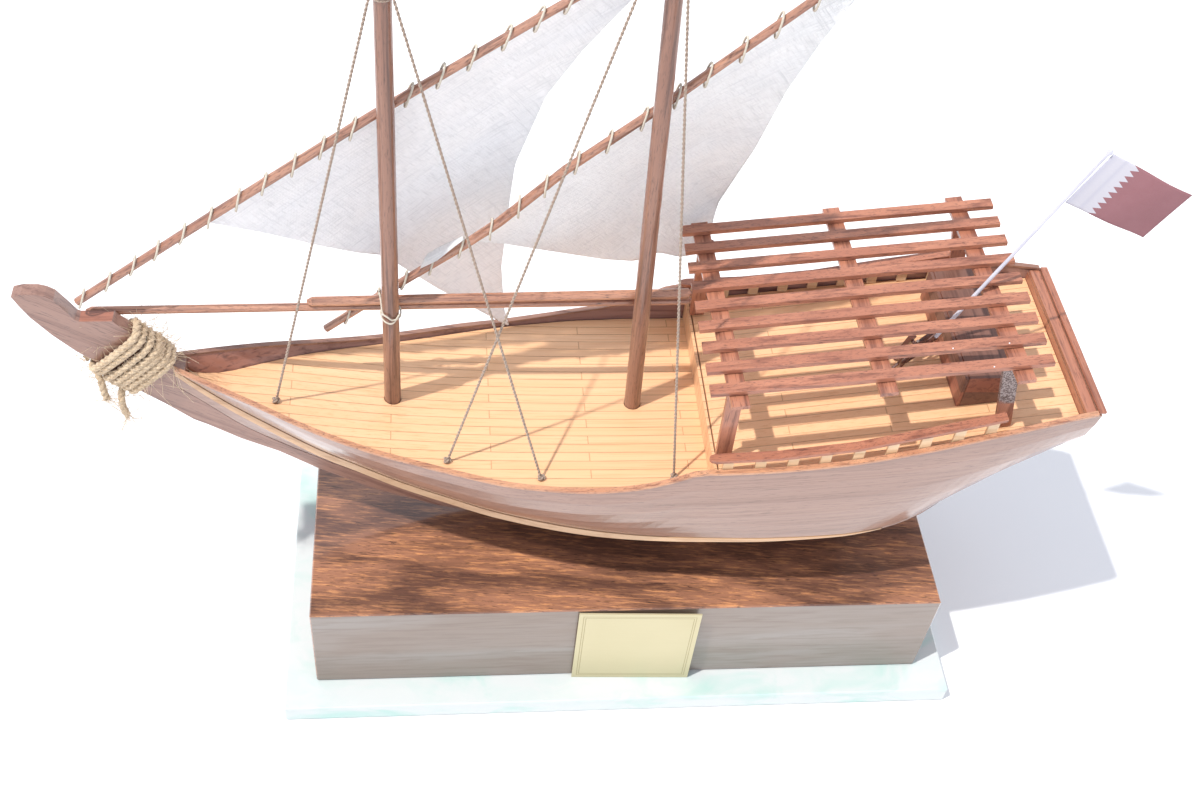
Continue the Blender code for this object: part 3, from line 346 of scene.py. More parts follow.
def hull_material():
    s = Shader("hull_varnish")
    base = s.mapping(turn=(0, 0.06, 0))
    broad = s.noise(s.mapping(scale=(3, 30, 70), source=base), 3, 0.5, 0.7)
    grain = s.noise(s.mapping(scale=(8, 300, 520), source=base), 5, 0.6, 0.5)
    pores = s.noise(s.mapping(scale=(90, 1400, 1400), source=base), 3, 0.6)
    colour = s.mix(s.ramp(broad, [(0.3, 0.0), (0.72, 1.0)]), (0.285, 0.150, 0.105), (0.37, 0.210, 0.150))
    bands = s.math("MULTIPLY", s.ramp(grain, [(0.44, 0.0), (0.68, 1.0)]), 0.50)
    colour = s.mix(bands, colour, (0.17, 0.075, 0.050))
    dashes = s.math("MULTIPLY", s.ramp(pores, [(0.57, 0.0), (0.67, 1.0)]), 0.45)
    colour = s.mix(dashes, colour, (0.10, 0.038, 0.026))
    s.set(Base_Color=colour, Roughness=0.42, Coat_Weight=1.0, Coat_Roughness=0.18, Coat_IOR=1.6)
    s.bump(s.math("ADD", grain, pores), 0.00005)
    return s.material


def block_front_material():
    """The block's near face, drawn paler and greyer than its top: a painted reflection of the pale slab and
    floor in its varnish.
    """
    s = Shader("block_front")
    figure = s.noise(s.mapping(scale=(4, 20, 34)), 3, 0.5, 1.2)
    streak = s.noise(s.mapping(scale=(22, 300, 300)), 4, 0.6, 0.5)
    # pale grey colours: painted reflection of the slab and floor on the block's wood
    colour = s.mix(s.ramp(figure, [(0.30, 0.0), (0.72, 1.0)]), (0.215, 0.155, 0.118), (0.265, 0.232, 0.205))
    streaks = s.math("MULTIPLY", s.ramp(streak, [(0.46, 0.0), (0.68, 1.0)]), 0.5)
    colour = s.mix(streaks, colour, (0.15, 0.090, 0.060))
    s.set(Base_Color=colour, Roughness=0.35, Coat_Weight=1.0, Coat_Roughness=0.2)
    s.bump(streak, 0.00003)
    return s.material


def cloth_material(name, colour, shade_and_thread_colour, turn):
    """Plain woven cotton, its threads along and across the turned X axis, through which light shines, with
    broad bands of painted shade.
    """
    s = Shader(name)
    base = s.mapping(turn=(0, turn, 0))
    x, _, z = s.split(s.mapping(scale=(1500, 1500, 1500), source=base))
    weave = s.math("MAXIMUM", s.math("ABSOLUTE", s.math("SINE", x)), s.math("ABSOLUTE", s.math("SINE", z)))
    threads = []
    for scale in ((28, 500, 2300), (2300, 500, 45)):
        thick = s.noise(s.mapping(scale=scale, source=base), 3, 0.6)
        threads.append(s.ramp(thick, [(0.50, 0.0), (0.70, 1.0)]))
    slubs = s.math("MAXIMUM", *threads)
    # broad bluish bands of painted shade across the cloth
    bands = s.ramp(s.noise(s.mapping(scale=(4, 10, 26), source=base), 2, 0.5), [(0.42, 0.0), (0.66, 1.0)])
    shade = s.mix(s.math("MULTIPLY", bands, 0.6), colour, shade_and_thread_colour)
    shade = s.mix(s.math("MULTIPLY", slubs, 0.48), shade, tuple(0.66 * v for v in shade_and_thread_colour))
    s.set(Base_Color=shade, Roughness=0.85, Sheen_Weight=0.2)
    s.bump(s.math("ADD", weave, slubs), 0.00012)
    thin_part = s.tree.nodes.new("ShaderNodeBsdfTranslucent")
    s.put(thin_part.inputs["Color"], shade)
    both = s.tree.nodes.new("ShaderNodeMixShader")
    both.inputs[0].default_value = CLOTH_THIN
    s.tree.links.new(s.bsdf.outputs[0], both.inputs[1])
    s.tree.links.new(thin_part.outputs[0], both.inputs[2])
    s.tree.links.new(both.outputs[0], s.out.inputs["Surface"])
    return s.material


def flag_material():
    """Maroon cloth with a white band at the staff, parted by a serrated line, with painted shade that draws
    the band's rolled sleeve.
    """
    s = Shader("flag_print")
    u, v, _ = s.split(s.coords.outputs["UV"])
    teeth = s.math("PINGPONG", s.math("MULTIPLY", v, FLAG_TEETH), 0.5)
    edge = s.math("ADD", s.math("MULTIPLY", teeth, FLAG_TOOTH), FLAG_BAND)
    maroon = s.math("GREATER_THAN", u, edge)
    weave = s.noise(s.mapping(scale=(1400, 1400, 1400)), 2, 0.6)
    worn = s.noise(s.mapping(scale=(90, 90, 90)), 3, 0.6)
    red = s.mix(worn, (0.25, 0.095, 0.105), (0.31, 0.135, 0.150))
    # painted shade: darker bluish bands that draw the rolled sleeve at the staff
    sleeve_painted_shade = s.ramp(u, [(0.0, 1.0), (0.05, 0.35), (0.09, 0.0), (0.14, 0.0), (0.17, 0.6), (0.21, 0.0)])
    white = s.mix(sleeve_painted_shade, (0.56, 0.55, 0.60), (0.46, 0.46, 0.54))
    colour = s.mix(maroon, white, red)
    s.set(Base_Color=s.mix(s.math("MULTIPLY", weave, 0.12), colour, (0.36, 0.32, 0.35)), Roughness=0.8)
    s.bump(weave, 0.0001)
    return s.material


def rope_material(name, light, dark, scale=1.0):
    s = Shader(name)
    fibres = s.noise(s.mapping(scale=(700 * scale, 700 * scale, 700 * scale)), 4, 0.7, 0.5)
    patches = s.noise(s.mapping(scale=(120 * scale, 120 * scale, 120 * scale)), 2, 0.5)
    colour = s.mix(s.ramp(fibres, [(0.35, 0.0), (0.65, 1.0)]), dark, light)
    colour = s.mix(s.math("MULTIPLY", patches, 0.35), colour, tuple(0.7 * v for v in light))
    s.set(Base_Color=colour, Roughness=0.9, Sheen_Weight=0.3)
    s.bump(fibres, 0.0003)
    return s.material


def plain(name, light, dark, rough, scale=60.0):
    s = Shader(name)
    tone = s.noise(s.mapping(scale=(scale, scale * 2, scale * 2)), 4, 0.6)
    s.set(Base_Color=s.ramp(tone, [(0.3, dark), (0.7, light)]))
    s.set(Roughness=s.ramp(tone, [(0.3, rough), (0.7, rough + 0.1)]))
    s.bump(tone, 0.00003)
    return s.material


def plate_material():
    """Brushed brass with a border of two thin engraved lines."""
    s = Shader("brushed_plate")
    x, _, z = s.split(s.coords.outputs["Object"])
    low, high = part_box("name_plate")
    to_x = s.math("MINIMUM", s.math("SUBTRACT", x, low.x), s.math("SUBTRACT", high.x, x))
    to_z = s.math("MINIMUM", s.math("SUBTRACT", z, low.z), s.math("SUBTRACT", high.z, z))
    edge = s.math("MINIMUM", to_x, to_z)
    outer, inner = [s.math("ABSOLUTE", s.math("SUBTRACT", edge, place)) for place in PLATE_LINES]
    line = s.math("LESS_THAN", s.math("MINIMUM", outer, inner), PLATE_LINE_HALF)
    brush = s.noise(s.mapping(scale=(30, 900, 900)), 3, 0.6)
    tone = s.noise(s.mapping(scale=(18, 18, 18)), 2)
    colour = s.mix(tone, (0.57, 0.51, 0.31), (0.63, 0.57, 0.37))
    colour = s.mix(s.math("MULTIPLY", line, 0.7), colour, (0.33, 0.26, 0.12))
    s.set(Base_Color=colour, Metallic=0.35, Roughness=s.ramp(brush, [(0.3, 0.32), (0.7, 0.45)]))
    s.bump(s.math("SUBTRACT", s.math("MULTIPLY", brush, 0.2), line), 0.00006)
    return s.material


def bench_material(name, red_from, red_to):
    """Dark varnished wood with a red board between two heights."""
    s = Shader(name)
    _, _, z = s.split(s.coords.outputs["Object"])
    broad = s.noise(s.mapping(scale=(40, 12, 60)), 3, 0.55)
    grain = s.noise(s.mapping(scale=(300, 20, 420)), 4, 0.6, 0.4)
    board = s.math("MULTIPLY", s.math("GREATER_THAN", z, red_from), s.math("LESS_THAN", z, red_to))
    dark = s.mix(broad, (0.15, 0.070, 0.050), (0.24, 0.118, 0.086))
    red = s.mix(broad, (0.30, 0.105, 0.068), (0.42, 0.165, 0.105))
    colour = s.mix(board, dark, red)
    streaks = s.math("MULTIPLY", s.ramp(grain, [(0.50, 0.0), (0.68, 1.0)]), 0.6)
    colour = s.mix(streaks, colour, (0.06, 0.024, 0.020))
    s.set(Base_Color=colour, Roughness=0.50, Coat_Weight=0.12, Coat_Roughness=0.2)
    s.bump(s.math("SUBTRACT", board, s.math("MULTIPLY", grain, 0.2)), 0.0002)
    return s.material


def glued_post_material():
    """Red wood whose upper part carries dried grey glue."""
    s = Shader("glued_post")
    colour, _ = grained(s, s.mapping(turn=UPRIGHT), **RED)
    _, _, z = s.split(s.coords.outputs["Object"])
    specks = s.noise(s.mapping(scale=(950, 950, 800)), 3, 0.7)
    ragged = s.noise(s.mapping(scale=(150, 150, 150)), 2, 0.5)
    height = s.math("ADD", z, s.math("MULTIPLY", ragged, GLUE_RAGGED))
    above = s.math("DIVIDE", s.math("SUBTRACT", height, GLUE_FOOT), GLUE_FADE)
    patch = s.ramp(above, [(0.0, 0.0), (1.0, 1.0)])
    glue = s.mix(s.ramp(specks, [(0.44, 0.0), (0.56, 1.0)]), (0.10, 0.060, 0.052), (0.38, 0.310, 0.290))
    s.set(Base_Color=s.mix(patch, colour, glue), Roughness=0.6, Coat_Weight=0.1, Coat_Roughness=0.2)
    s.bump(specks, 0.0002)
    return s.material


def bulwark_material():
    """The bulwark's inner side: red at the bow, and greyer from there aft."""
    s = Shader("bulwark_wood")
    x, _, _ = s.split(s.coords.outputs["Object"])
    broad = s.noise(s.mapping(scale=(9, 70, 70)), 3, 0.5, 0.6)
    grain = s.noise(s.mapping(scale=(12, 330, 330)), 4, 0.55, 0.4)
    red = s.mix(broad, (0.34, 0.125, 0.070), (0.46, 0.190, 0.115))
    grey = s.mix(broad, (0.255, 0.133, 0.112), (0.370, 0.215, 0.185))
    aft = s.math("DIVIDE", s.math("SUBTRACT", x, BULWARK_RED), BULWARK_FADE)
    colour = s.mix(s.ramp(aft, [(0.0, 0.0), (1.0, 1.0)]), red, grey)
    bands = s.math("MULTIPLY", s.ramp(grain, [(0.50, 0.0), (0.68, 1.0)]), 0.75)
    s.set(Base_Color=s.mix(bands, colour, (0.095, 0.038, 0.032)), Roughness=0.42)
    s.set(Coat_Weight=0.5, Coat_Roughness=0.12)
    s.bump(grain, 0.00005)
    return s.material


def faces_where(name, test):
    """Faces of a CAD piece that pass a test."""
    return [face.index for face in NODES[name].data.polygons if test(face)]


def looks_inwards(face):
    """Whether a face of the hull is the bulwark's inner side."""
    return face.center.z > STRAKE_TOP and abs(face.normal.x) < 0.9 and face.center.y * face.normal.y < -1e-6


def ease_edges(names):
    """Narrow rounded edges, which catch the light."""
    for name in names:
        bevel = NODES[name].modifiers.new("eased", "BEVEL")
        bevel.width = EASED_EDGE
        bevel.segments = 2
        bevel.limit_method = "ANGLE"
        bevel.angle_limit = EASED_FROM
        bevel.harden_normals = True


def add_material(name, material, chosen):
    """Gives some faces of a CAD piece another material."""
    mesh = NODES[name].data
    slot = len(mesh.materials)
    mesh.materials.append(material)
    for index in chosen:
        mesh.polygons[index].material_index = slot


def dress_hull():
    stem = wood("stem_wood", (0.36, 0.20, 0.15), (0.27, 0.14, 0.10), (0.15, 0.062, 0.045),
                turn=(0, STEM_SLOPE, 0), coat=1.0, coat_rough=0.22)
    dress(["stem_keel_board", "rudder"], stem)
    step_wood = wood("stem_step_wood", (0.40, 0.160, 0.100), (0.30, 0.110, 0.068), (0.13, 0.042, 0.028))
    step = faces_where("stem_keel_board", lambda face: (
        face.normal.z > 0.3 and STEM_STEP[0] < face.center.x < STEM_STEP[1]))
    add_material("stem_keel_board", step_wood, step)
    athwart = wood("red_wood_y", **RED, turn=ATHWART)
    dress(named("roof_beam", "transom_"), athwart)
    dress(["hull"], hull_material(), degrees=40)
    add_material("hull", bulwark_material(), faces_where("hull", looks_inwards))
    step = faces_where("hull", lambda face: face.normal.x < -0.9 and face.center.x > HULL_STEP)
    add_material("hull", athwart, step)
    near_cap = wood("cap_wood", (0.62, 0.33, 0.190), (0.50, 0.230, 0.128), (0.20, 0.068, 0.040),
                    size=0.6, fleck=0.8)
    dress(["gunwale_cap_port"], near_cap)
    # the far cap: the near cap's wood drawn darker and greyer, painted shade
    far_cap_painted_shade = wood("far_cap_wood", (0.36, 0.195, 0.135), (0.25, 0.118, 0.080), (0.11, 0.042, 0.030),
                   size=0.6, coat=0.7)
    dress(["gunwale_cap_starboard"], far_cap_painted_shade)
    strip = wood("strip_wood", (0.64, 0.41, 0.235), (0.59, 0.35, 0.190), (0.46, 0.25, 0.125), fleck=0.1)
    dress(named("strake"), strip)
    dress(["main_deck", "poop_deck", "poop_front_board"], deck_material())


def dress_rig():
    upright = wood("mast_wood", (0.31, 0.150, 0.096), (0.225, 0.098, 0.062), (0.08, 0.030, 0.020),
                   turn=UPRIGHT, size=0.8, coat=0.7)
    dress(named("mast_"), upright)
    raking = wood("yard_wood", (0.48, 0.245, 0.155), (0.32, 0.140, 0.088), (0.10, 0.036, 0.024),
                  turn=(0, YARD_SLOPE, 0), size=0.6, fleck=0.8, coat=0.8, coat_rough=0.2)
    dress(named("yard_"), raking)
    spars = wood("spar_wood", (0.53, 0.260, 0.155), (0.36, 0.152, 0.092), (0.11, 0.038, 0.025),
                 size=0.6, fleck=0.8, coat=0.8, coat_rough=0.2)
    dress(["long_spar", "short_spar"], spars)


def dress_poop():
    along = wood("red_wood_x", **RED, size=0.7, fleck=0.75, coat=0.35)
    dress(named("roof_slat", "side_rail"), along)
    pale = wood("pale_strip", (0.80, 0.60, 0.38), (0.74, 0.51, 0.30), (0.58, 0.36, 0.19), fleck=0.1)
    for name in named("side_rail"):
        low = faces_where(name, lambda face: face.center.z < rail_underside(face.center.x) - RAIL_SLACK)
        add_material(name, pale, low)
    dress(named("roof_post"), wood("post_wood", **RED, turn=UPRIGHT))
    dress(["roof_post_aft_port"], glued_post_material())
    dark = wood("dark_wood", (0.16, 0.060, 0.042), (0.095, 0.034, 0.025), (0.03, 0.010, 0.008))
    dress(["steering_wheel", "wheel_stand"], dark)
    dress(["bench"], bench_material("bench_wood", BENCH_BAND, 1.0))
    top = faces_where("bench", lambda face: face.normal.z > 0.5)
    add_material("bench", bench_material("bench_top_wood", 1.0, 1.1), top)
    dress(["bench_front_board"], bench_material("bench_board_wood", 0.0, BENCH_BAND))


def dress_base():
    dress(["base_slab"], slab_material())
    dress(["plinth_block"], block_material())
    front = faces_where("plinth_block", lambda face: face.normal.y < -0.9)
    add_material("plinth_block", block_front_material(), front)
    dress(["name_plate"], plate_material())


# Sails and flag

SAIL_CLOTH = 0.0005
SAIL_HEAD = Vector((0, 0.0036, -0.001))  # of a sail's head from the middle of its yard
YARD_FORE = [
    (-0.3150, 0.0014, 0.2784),
    (-0.2443, 0.0055, 0.3319),
    (-0.1518, 0.0078, 0.4026),
    (-0.0596, 0.0130, 0.4663),
    (0.0120, 0.0150, 0.5130),
]
YARD_AFT = [
    (-0.1851, 0.0154, 0.2435),
    (-0.1435, 0.0148, 0.2795),
    (-0.0948, 0.0122, 0.3217),
    (-0.0548, 0.0096, 0.3678),
    (-0.0126, 0.0079, 0.4076),
    (0.0558, 0.0070, 0.4744),
    (0.1120, 0.0060, 0.5280),
]
FORE_EDGE = [
    (-0.2410, 0.0096, 0.3290),
    (-0.2121, 0.0140, 0.3177),
    (-0.1852, 0.0220, 0.3018),
    (-0.1657, 0.0270, 0.2922),
    (-0.1512, 0.0310, 0.2866),
    (-0.1411, 0.0360, 0.2729),
    (-0.1213, 0.0430, 0.2493),
    (-0.0765, 0.0580, 0.2016),
    (-0.0804, 0.0570, 0.2180),
    (-0.0835, 0.0530, 0.2574),
    (-0.0812, 0.0440, 0.3149),
    (-0.0797, 0.0386, 0.3460),
    (-0.0738, 0.0346, 0.3691),
    (-0.0659, 0.0302, 0.3988),
    (-0.0499, 0.0264, 0.4291),
    (-0.0311, 0.0234, 0.4578),
    (0.0065, 0.0196, 0.5065),
]
AFT_EDGE = [
    (-0.1255, 0.0180, 0.2940),
    (-0.1081, 0.0176, 0.3090),
    (-0.1009, 0.0190, 0.3083),
    (-0.0854, 0.0270, 0.2999),
    (-0.0567, 0.0400, 0.2825),
    (-0.0227, 0.0530, 0.2642),
    (-0.0025, 0.0600, 0.2562),
    (0.0119, 0.0660, 0.2580),
    (0.0281, 0.0760, 0.2450),
    (0.0447, 0.0840, 0.2411),
    (0.0457, 0.0830, 0.2554),
    (0.0464, 0.0800, 0.2800),
    (0.0463, 0.0760, 0.2901),
    (0.0504, 0.0600, 0.3264),
    (0.0530, 0.0480, 0.3515),
    (0.0585, 0.0280, 0.4077),
    (0.0669, 0.0170, 0.4444),
    (0.0761, 0.0126, 0.4693),
    (0.1030, 0.0106, 0.5150),
]
Sail = namedtuple("Sail", "name yard route head edge size cotton first_turn pitch")
SAILS = [  # head: its ends as shares of the yard, first_turn and pitch: of the lacing along the yard
    # cotton: the cloth's own colour, then the colour of its painted shade bands and darker threads
    Sail("sail_fore", "yard_fore", YARD_FORE, (0.235, 0.985), FORE_EDGE, (0.307, 0.207),
         ((0.99, 0.975, 0.965), (0.93, 0.94, 0.96)), 0.0040, 0.0185),
    Sail("sail_aft", "yard_aft", YARD_AFT, (0.19, 0.97), AFT_EDGE, (0.322, 0.171),
         ((0.98, 0.98, 0.97), (0.92, 0.94, 0.96)), 0.0175, 0.0212),
]
SAIL_COLUMNS, SAIL_ROWS = 120, 36
SAIL_BELLY, SAIL_FULL = 0.008, 0.2  # depth of the belly, and the drop of the cloth that has it whole
RIPPLE, RIPPLES_ALONG, RIPPLES_DOWN = 0.0009, 31, 5
TACK_COLUMNS, TACK_ROWS = 30, 12
TACK_OUTER = [(-0.1271, 0.0130, 0.3038), (-0.1211, 0.0130, 0.3090), (-0.1077, 0.0130, 0.3176)]
TACK_INNER = [(-0.1310, 0.0110, 0.2953), (-0.1217, 0.0090, 0.3031), (-0.1075, 0.0090, 0.3187)]
TACK_BULGE, TACK_OUT = 0.0020, Vector((-0.15, -0.70, 0.55))
TACK_CLOSING = 0.7  # how much of the bulge is gone at the fold's upper end
STAFF_FOOT, STAFF_BEND, STAFF_TIP = (
    Vector((0.1668, -0.0098, 0.2625)),
    Vector((0.1903, -0.0062, 0.3115)),
    Vector((0.2304, 0.0, 0.3939)),
)
STAFF_RESOLUTION = 4
FLAG_COLUMNS, FLAG_ROWS = 48, 32
FLAG_HIGH_IN, FLAG_LOW_IN = Vector((0.2316, -0.0006, 0.3912)), Vector((0.2153, -0.0027, 0.3594))
FLAG_HIGH_OUT, FLAG_LOW_OUT = Vector((0.2778, -0.0130, 0.3737)), Vector((0.2667, -0.0060, 0.3372))
FLAG_WAVE, FLAG_OUT = 0.0011, Vector((0.35, 0.94, -0.05))
FLAG_WAVES_ALONG, FLAG_WAVES_DOWN = 7.0, 1.5
SPAN_POINTS = 12  # of a smooth curve between two of its route's own points


def route_at(route, share):
    """The point at a share of a polyline's length."""
    points = [Vector(point) for point in route]
    lengths = [(b - a).length for a, b in zip(points, points[1:])]
    left = share * sum(lengths)
    for a, b, length in zip(points, points[1:], lengths):
        if left <= length:
            return a.lerp(b, left / length)
        left -= length
    return points[-1]


def smooth_route(route, count):
    """Points at equal shares of a smooth curve through a route's own points."""
    points = [Vector(point) for point in route]
    points = [2 * points[0] - points[1], *points, 2 * points[-1] - points[-2]]
    fine = []
    for a, b, c, d in zip(points, points[1:], points[2:], points[3:]):
        for k in range(SPAN_POINTS):
            t = k / SPAN_POINTS
            bend = (2 * a - 5 * b + 4 * c - d) * t**2 + (3 * b - a - 3 * c + d) * t**3
            fine.append((2 * b + (c - a) * t + bend) / 2)
    fine.append(points[-2])
    return [route_at(fine, i / (count - 1)) for i in range(count)]


def cloth_grid(name, point, columns, rows, material):
    """A sheet through a function of two shares, which also become its UV map."""
    shape = bmesh.new()
    bmesh.ops.create_grid(shape, x_segments=columns, y_segments=rows, size=0.5, calc_uvs=True)
    uv = shape.loops.layers.uv.verify()
    for face in shape.faces:
        face.smooth = True
        for loop in face.loops:
            loop[uv].uv = (loop.vert.co.x + 0.5, 0.5 - loop.vert.co.y)
    for vertex in shape.verts:
        vertex.co = point(vertex.co.x + 0.5, 0.5 - vertex.co.y)
    mesh = bpy.data.meshes.new(name)
    shape.to_mesh(mesh)
    shape.free()
    mesh.materials.append(material)
    thing = bpy.data.objects.new(name, mesh)
    bpy.context.scene.collection.objects.link(thing)
    thickness = thing.modifiers.new("thickness", "SOLIDIFY")
    thickness.thickness = SAIL_CLOTH
    thickness.offset = 0.0
    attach(thing, BOAT)
    return thing


def cloth_area(mesh):
    return sum(face.area for face in mesh.polygons)


def add_tack(cloth):
    """The aft sail's forward corner, folded over its yard."""

    def point(share, fall):
        place = route_at(TACK_OUTER, share).lerp(route_at(TACK_INNER, share), fall)
        return place + TACK_OUT * (TACK_BULGE * math.sin(math.pi * fall) * (1 - TACK_CLOSING * share))

    return cloth_grid("sail_aft_tack", point, TACK_COLUMNS, TACK_ROWS, cloth)


def add_sails():
    for sail in SAILS:
        cloth = cloth_material(sail.name + "_cotton", *sail.cotton, YARD_SLOPE)
        start, end = sail.head

        def point(share, fall):
            head = route_at(sail.route, start + (end - start) * share) + SAIL_HEAD
            low = route_at(sail.edge, share)
            full = min(1.0, (low - head).length / SAIL_FULL) * math.sin(math.pi * fall)
            belly = SAIL_BELLY * math.sin(math.pi * share)
            ripple = RIPPLE * math.sin(RIPPLES_ALONG * share + RIPPLES_DOWN * fall)
            return head.lerp(low, fall) + Vector((0, full * (belly + ripple), 0))

        thing = cloth_grid(sail.name + "_cloth", point, SAIL_COLUMNS, SAIL_ROWS, cloth)
        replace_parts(thing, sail.name)
        extra = [add_tack(cloth)] if sail.name == "sail_aft" else []
        cloth_area(thing.data)


def add_staff():
    """The flag's staff: a rod at the wheel, drawn out to a wire with a knob near its tip."""
    # the white staff drawn grey-lilac: painted shade
    white = plain("staff_white_painted_shade", (0.60, 0.60, 0.67), (0.50, 0.50, 0.58), 0.3)
    stations = (  # place and radius
        (STAFF_FOOT, 0.00120),
        (STAFF_BEND, 0.00112),
        (STAFF_BEND.lerp(STAFF_TIP, 0.12), 0.00102),
        (STAFF_BEND.lerp(STAFF_TIP, 0.25), 0.00094),
        (STAFF_BEND.lerp(STAFF_TIP, 0.955), 0.00082),
        (STAFF_BEND.lerp(STAFF_TIP, 0.975), 0.00180),
        (STAFF_TIP, 0.00070),
    )
    places, radii = zip(*stations)
    staff = curve_piece("flag_staff_rod", [places], 1.0, white, STAFF_RESOLUTION, radii)
    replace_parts(staff, "flag_staff")


def add_flag():
    def point(share, fall):
        high = FLAG_HIGH_IN.lerp(FLAG_HIGH_OUT, share)
        place = high.lerp(FLAG_LOW_IN.lerp(FLAG_LOW_OUT, share), fall)
        wave = FLAG_WAVE * math.sin(FLAG_WAVES_ALONG * share + FLAG_WAVES_DOWN * fall) * share
        return place + FLAG_OUT * wave

    thing = cloth_grid("flag_cloth_piece", point, FLAG_COLUMNS, FLAG_ROWS, flag_material())
    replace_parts(thing, "flag")


# Rope and thread

LASHING_START, LASHING_END = Vector((-0.3019, 0.0, 0.2477)), Vector((-0.2816, 0.0, 0.2243))
LASHING_MIDDLE = Vector((-0.292, 0, 0.236))
LASHING_TURNS, LASHING_STEPS = 7, 64
LASHING_REACH, LASHING_NARROWING, LASHING_SIDE = 0.0203, 0.0017, 0.0080
LASHING_UNEVEN, LASHING_SLIDE = 0.0008, 0.0014  # how far each half turn strays outwards and along
LASHING_SQUARE = 4  # power of the turn's outline: 2 is an ellipse
ROPE_STRANDS, ROPE_LAY, ROPE_DIAMETER = 3, 0.0120, 0.0038
TURN_STRAND, TAIL_STRAND = (0.00110, 0.00125), (0.00104, 0.00118)  # offset and radius of the strands
FIBRES, TIP_FIBRES, FIBRE_LENGTH, FIBRE_RADIUS = 700, 40, 0.0090, 0.00010
FIBRE_LEAN, FIBRE_CURL, FIBRE_STEPS = 1.8, 2.2, 8
TAIL_POINTS, TAIL_COVERED = 60, 12  # of a rope end's route, and those of them under the turns


def frames_along(points):
    """Each point with two directions square to the route, without twist."""
    found = []
    across = None
    for i, point in enumerate(points):
        ahead = (points[min(i + 1, len(points) - 1)] - points[max(i - 1, 0)]).normalized()
        across = ahead.orthogonal() if across is None else across
        across = (across - ahead * across.dot(ahead)).normalized()
        found.append((point, across, ahead.cross(across)))
    return found


def curve_piece(name, routes, radius, material, resolution=1, swell=None):
    """Round strands along several routes, as one mesh. A swell multiplies the radius at each point."""
    curve = bpy.data.curves.new(name, "CURVE")
    curve.dimensions = "3D"
    curve.bevel_depth = radius
    curve.bevel_resolution = resolution
    curve.use_fill_caps = True
    for route in routes:
        spline = curve.splines.new("POLY")
        spline.points.add(len(route) - 1)
        for node, point, wide in zip(spline.points, route, swell or [1.0] * len(route)):
            node.co = (*point, 1.0)
            node.radius = wide
    curve.materials.append(material)
    holder = bpy.data.objects.new(name + "_curve", curve)
    bpy.context.scene.collection.objects.link(holder)
    bpy.context.view_layer.update()
    mesh = bpy.data.meshes.new_from_object(holder.evaluated_get(bpy.context.evaluated_depsgraph_get()))
    bpy.data.objects.remove(holder)
    mesh.name = name
    thing = bpy.data.objects.new(name, mesh)
    bpy.context.scene.collection.objects.link(thing)
    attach(thing, BOAT)
    return thing


def laid_strands(points, count, offset, pitch):
    """Routes of the strands of a laid rope whose centre follows the points."""
    routes = [[] for _ in range(count)]
    travelled = 0.0
    before = points[0]
    for point, across, up in frames_along(points):
        travelled += (point - before).length
        before = point
        for k, route in enumerate(routes):
            turn = 2 * math.pi * (travelled / pitch + k / count)
            route.append(point + (across * math.cos(turn) + up * math.sin(turn)) * offset)
    return routes


def lashing_route():
    """Centre of the rope round the stem, whose half turns stray a little."""
    axis = (LASHING_END - LASHING_START).normalized()
    wide = Vector((axis.z, 0, -axis.x))
    chance = random.Random(4)
    sway = [chance.uniform(-1, 1) for _ in range(LASHING_TURNS * 2 + 2)]
    points = []
    steps = LASHING_TURNS * LASHING_STEPS
    for i in range(steps + 1):
        share = i / steps
        half_turn = 2 * LASHING_TURNS * share
        k = int(half_turn)
        drift = sway[k] + (sway[k + 1] - sway[k]) * (half_turn - k)
        reach = LASHING_REACH - LASHING_NARROWING * share + LASHING_UNEVEN * drift
        turn = 2 * math.pi * LASHING_TURNS * share
        a, b = math.cos(turn), math.sin(turn)
        square = (abs(a) ** LASHING_SQUARE + abs(b) ** LASHING_SQUARE) ** (-1 / LASHING_SQUARE)
        offset = wide * (a * square * reach) + Vector((0, b * square * LASHING_SIDE, 0))
        points.append(LASHING_START.lerp(LASHING_END, share) + axis * (LASHING_SLIDE * drift) + offset)
    return points


ROPE_ENDS = {
    "stem_rope_end_1": [
        (-0.3154, 0.0110, 0.2262),
        (-0.3140, 0.0020, 0.2248),
        (-0.3116, -0.0040, 0.2196),
        (-0.3112, -0.0052, 0.2135),
        (-0.3104, -0.0054, 0.2070),
    ],
    "stem_rope_end_2": [
        (-0.3017, 0.0105, 0.2136),
        (-0.3016, 0.0010, 0.2124),
        (-0.3024, -0.0042, 0.2070),
        (-0.3026, -0.0052, 0.2005),
        (-0.3014, -0.0054, 0.1926),
    ],
}


def fibres(chance, places):
    """Fine loose hairs that stand off a rope."""
    routes = []
    for place, out in places:
        side = Vector([chance.uniform(-1, 1) for _ in range(3)])
        way = (out + side * FIBRE_LEAN).normalized()
        curl = Vector([chance.uniform(-1, 1) for _ in range(3)]) * FIBRE_CURL
        reach = FIBRE_LENGTH * chance.uniform(0.2, 1.0)
        shares = [i / FIBRE_STEPS for i in range(FIBRE_STEPS + 1)]
        routes.append([place + (way + curl * share) * (reach * share) for share in shares])
    return routes


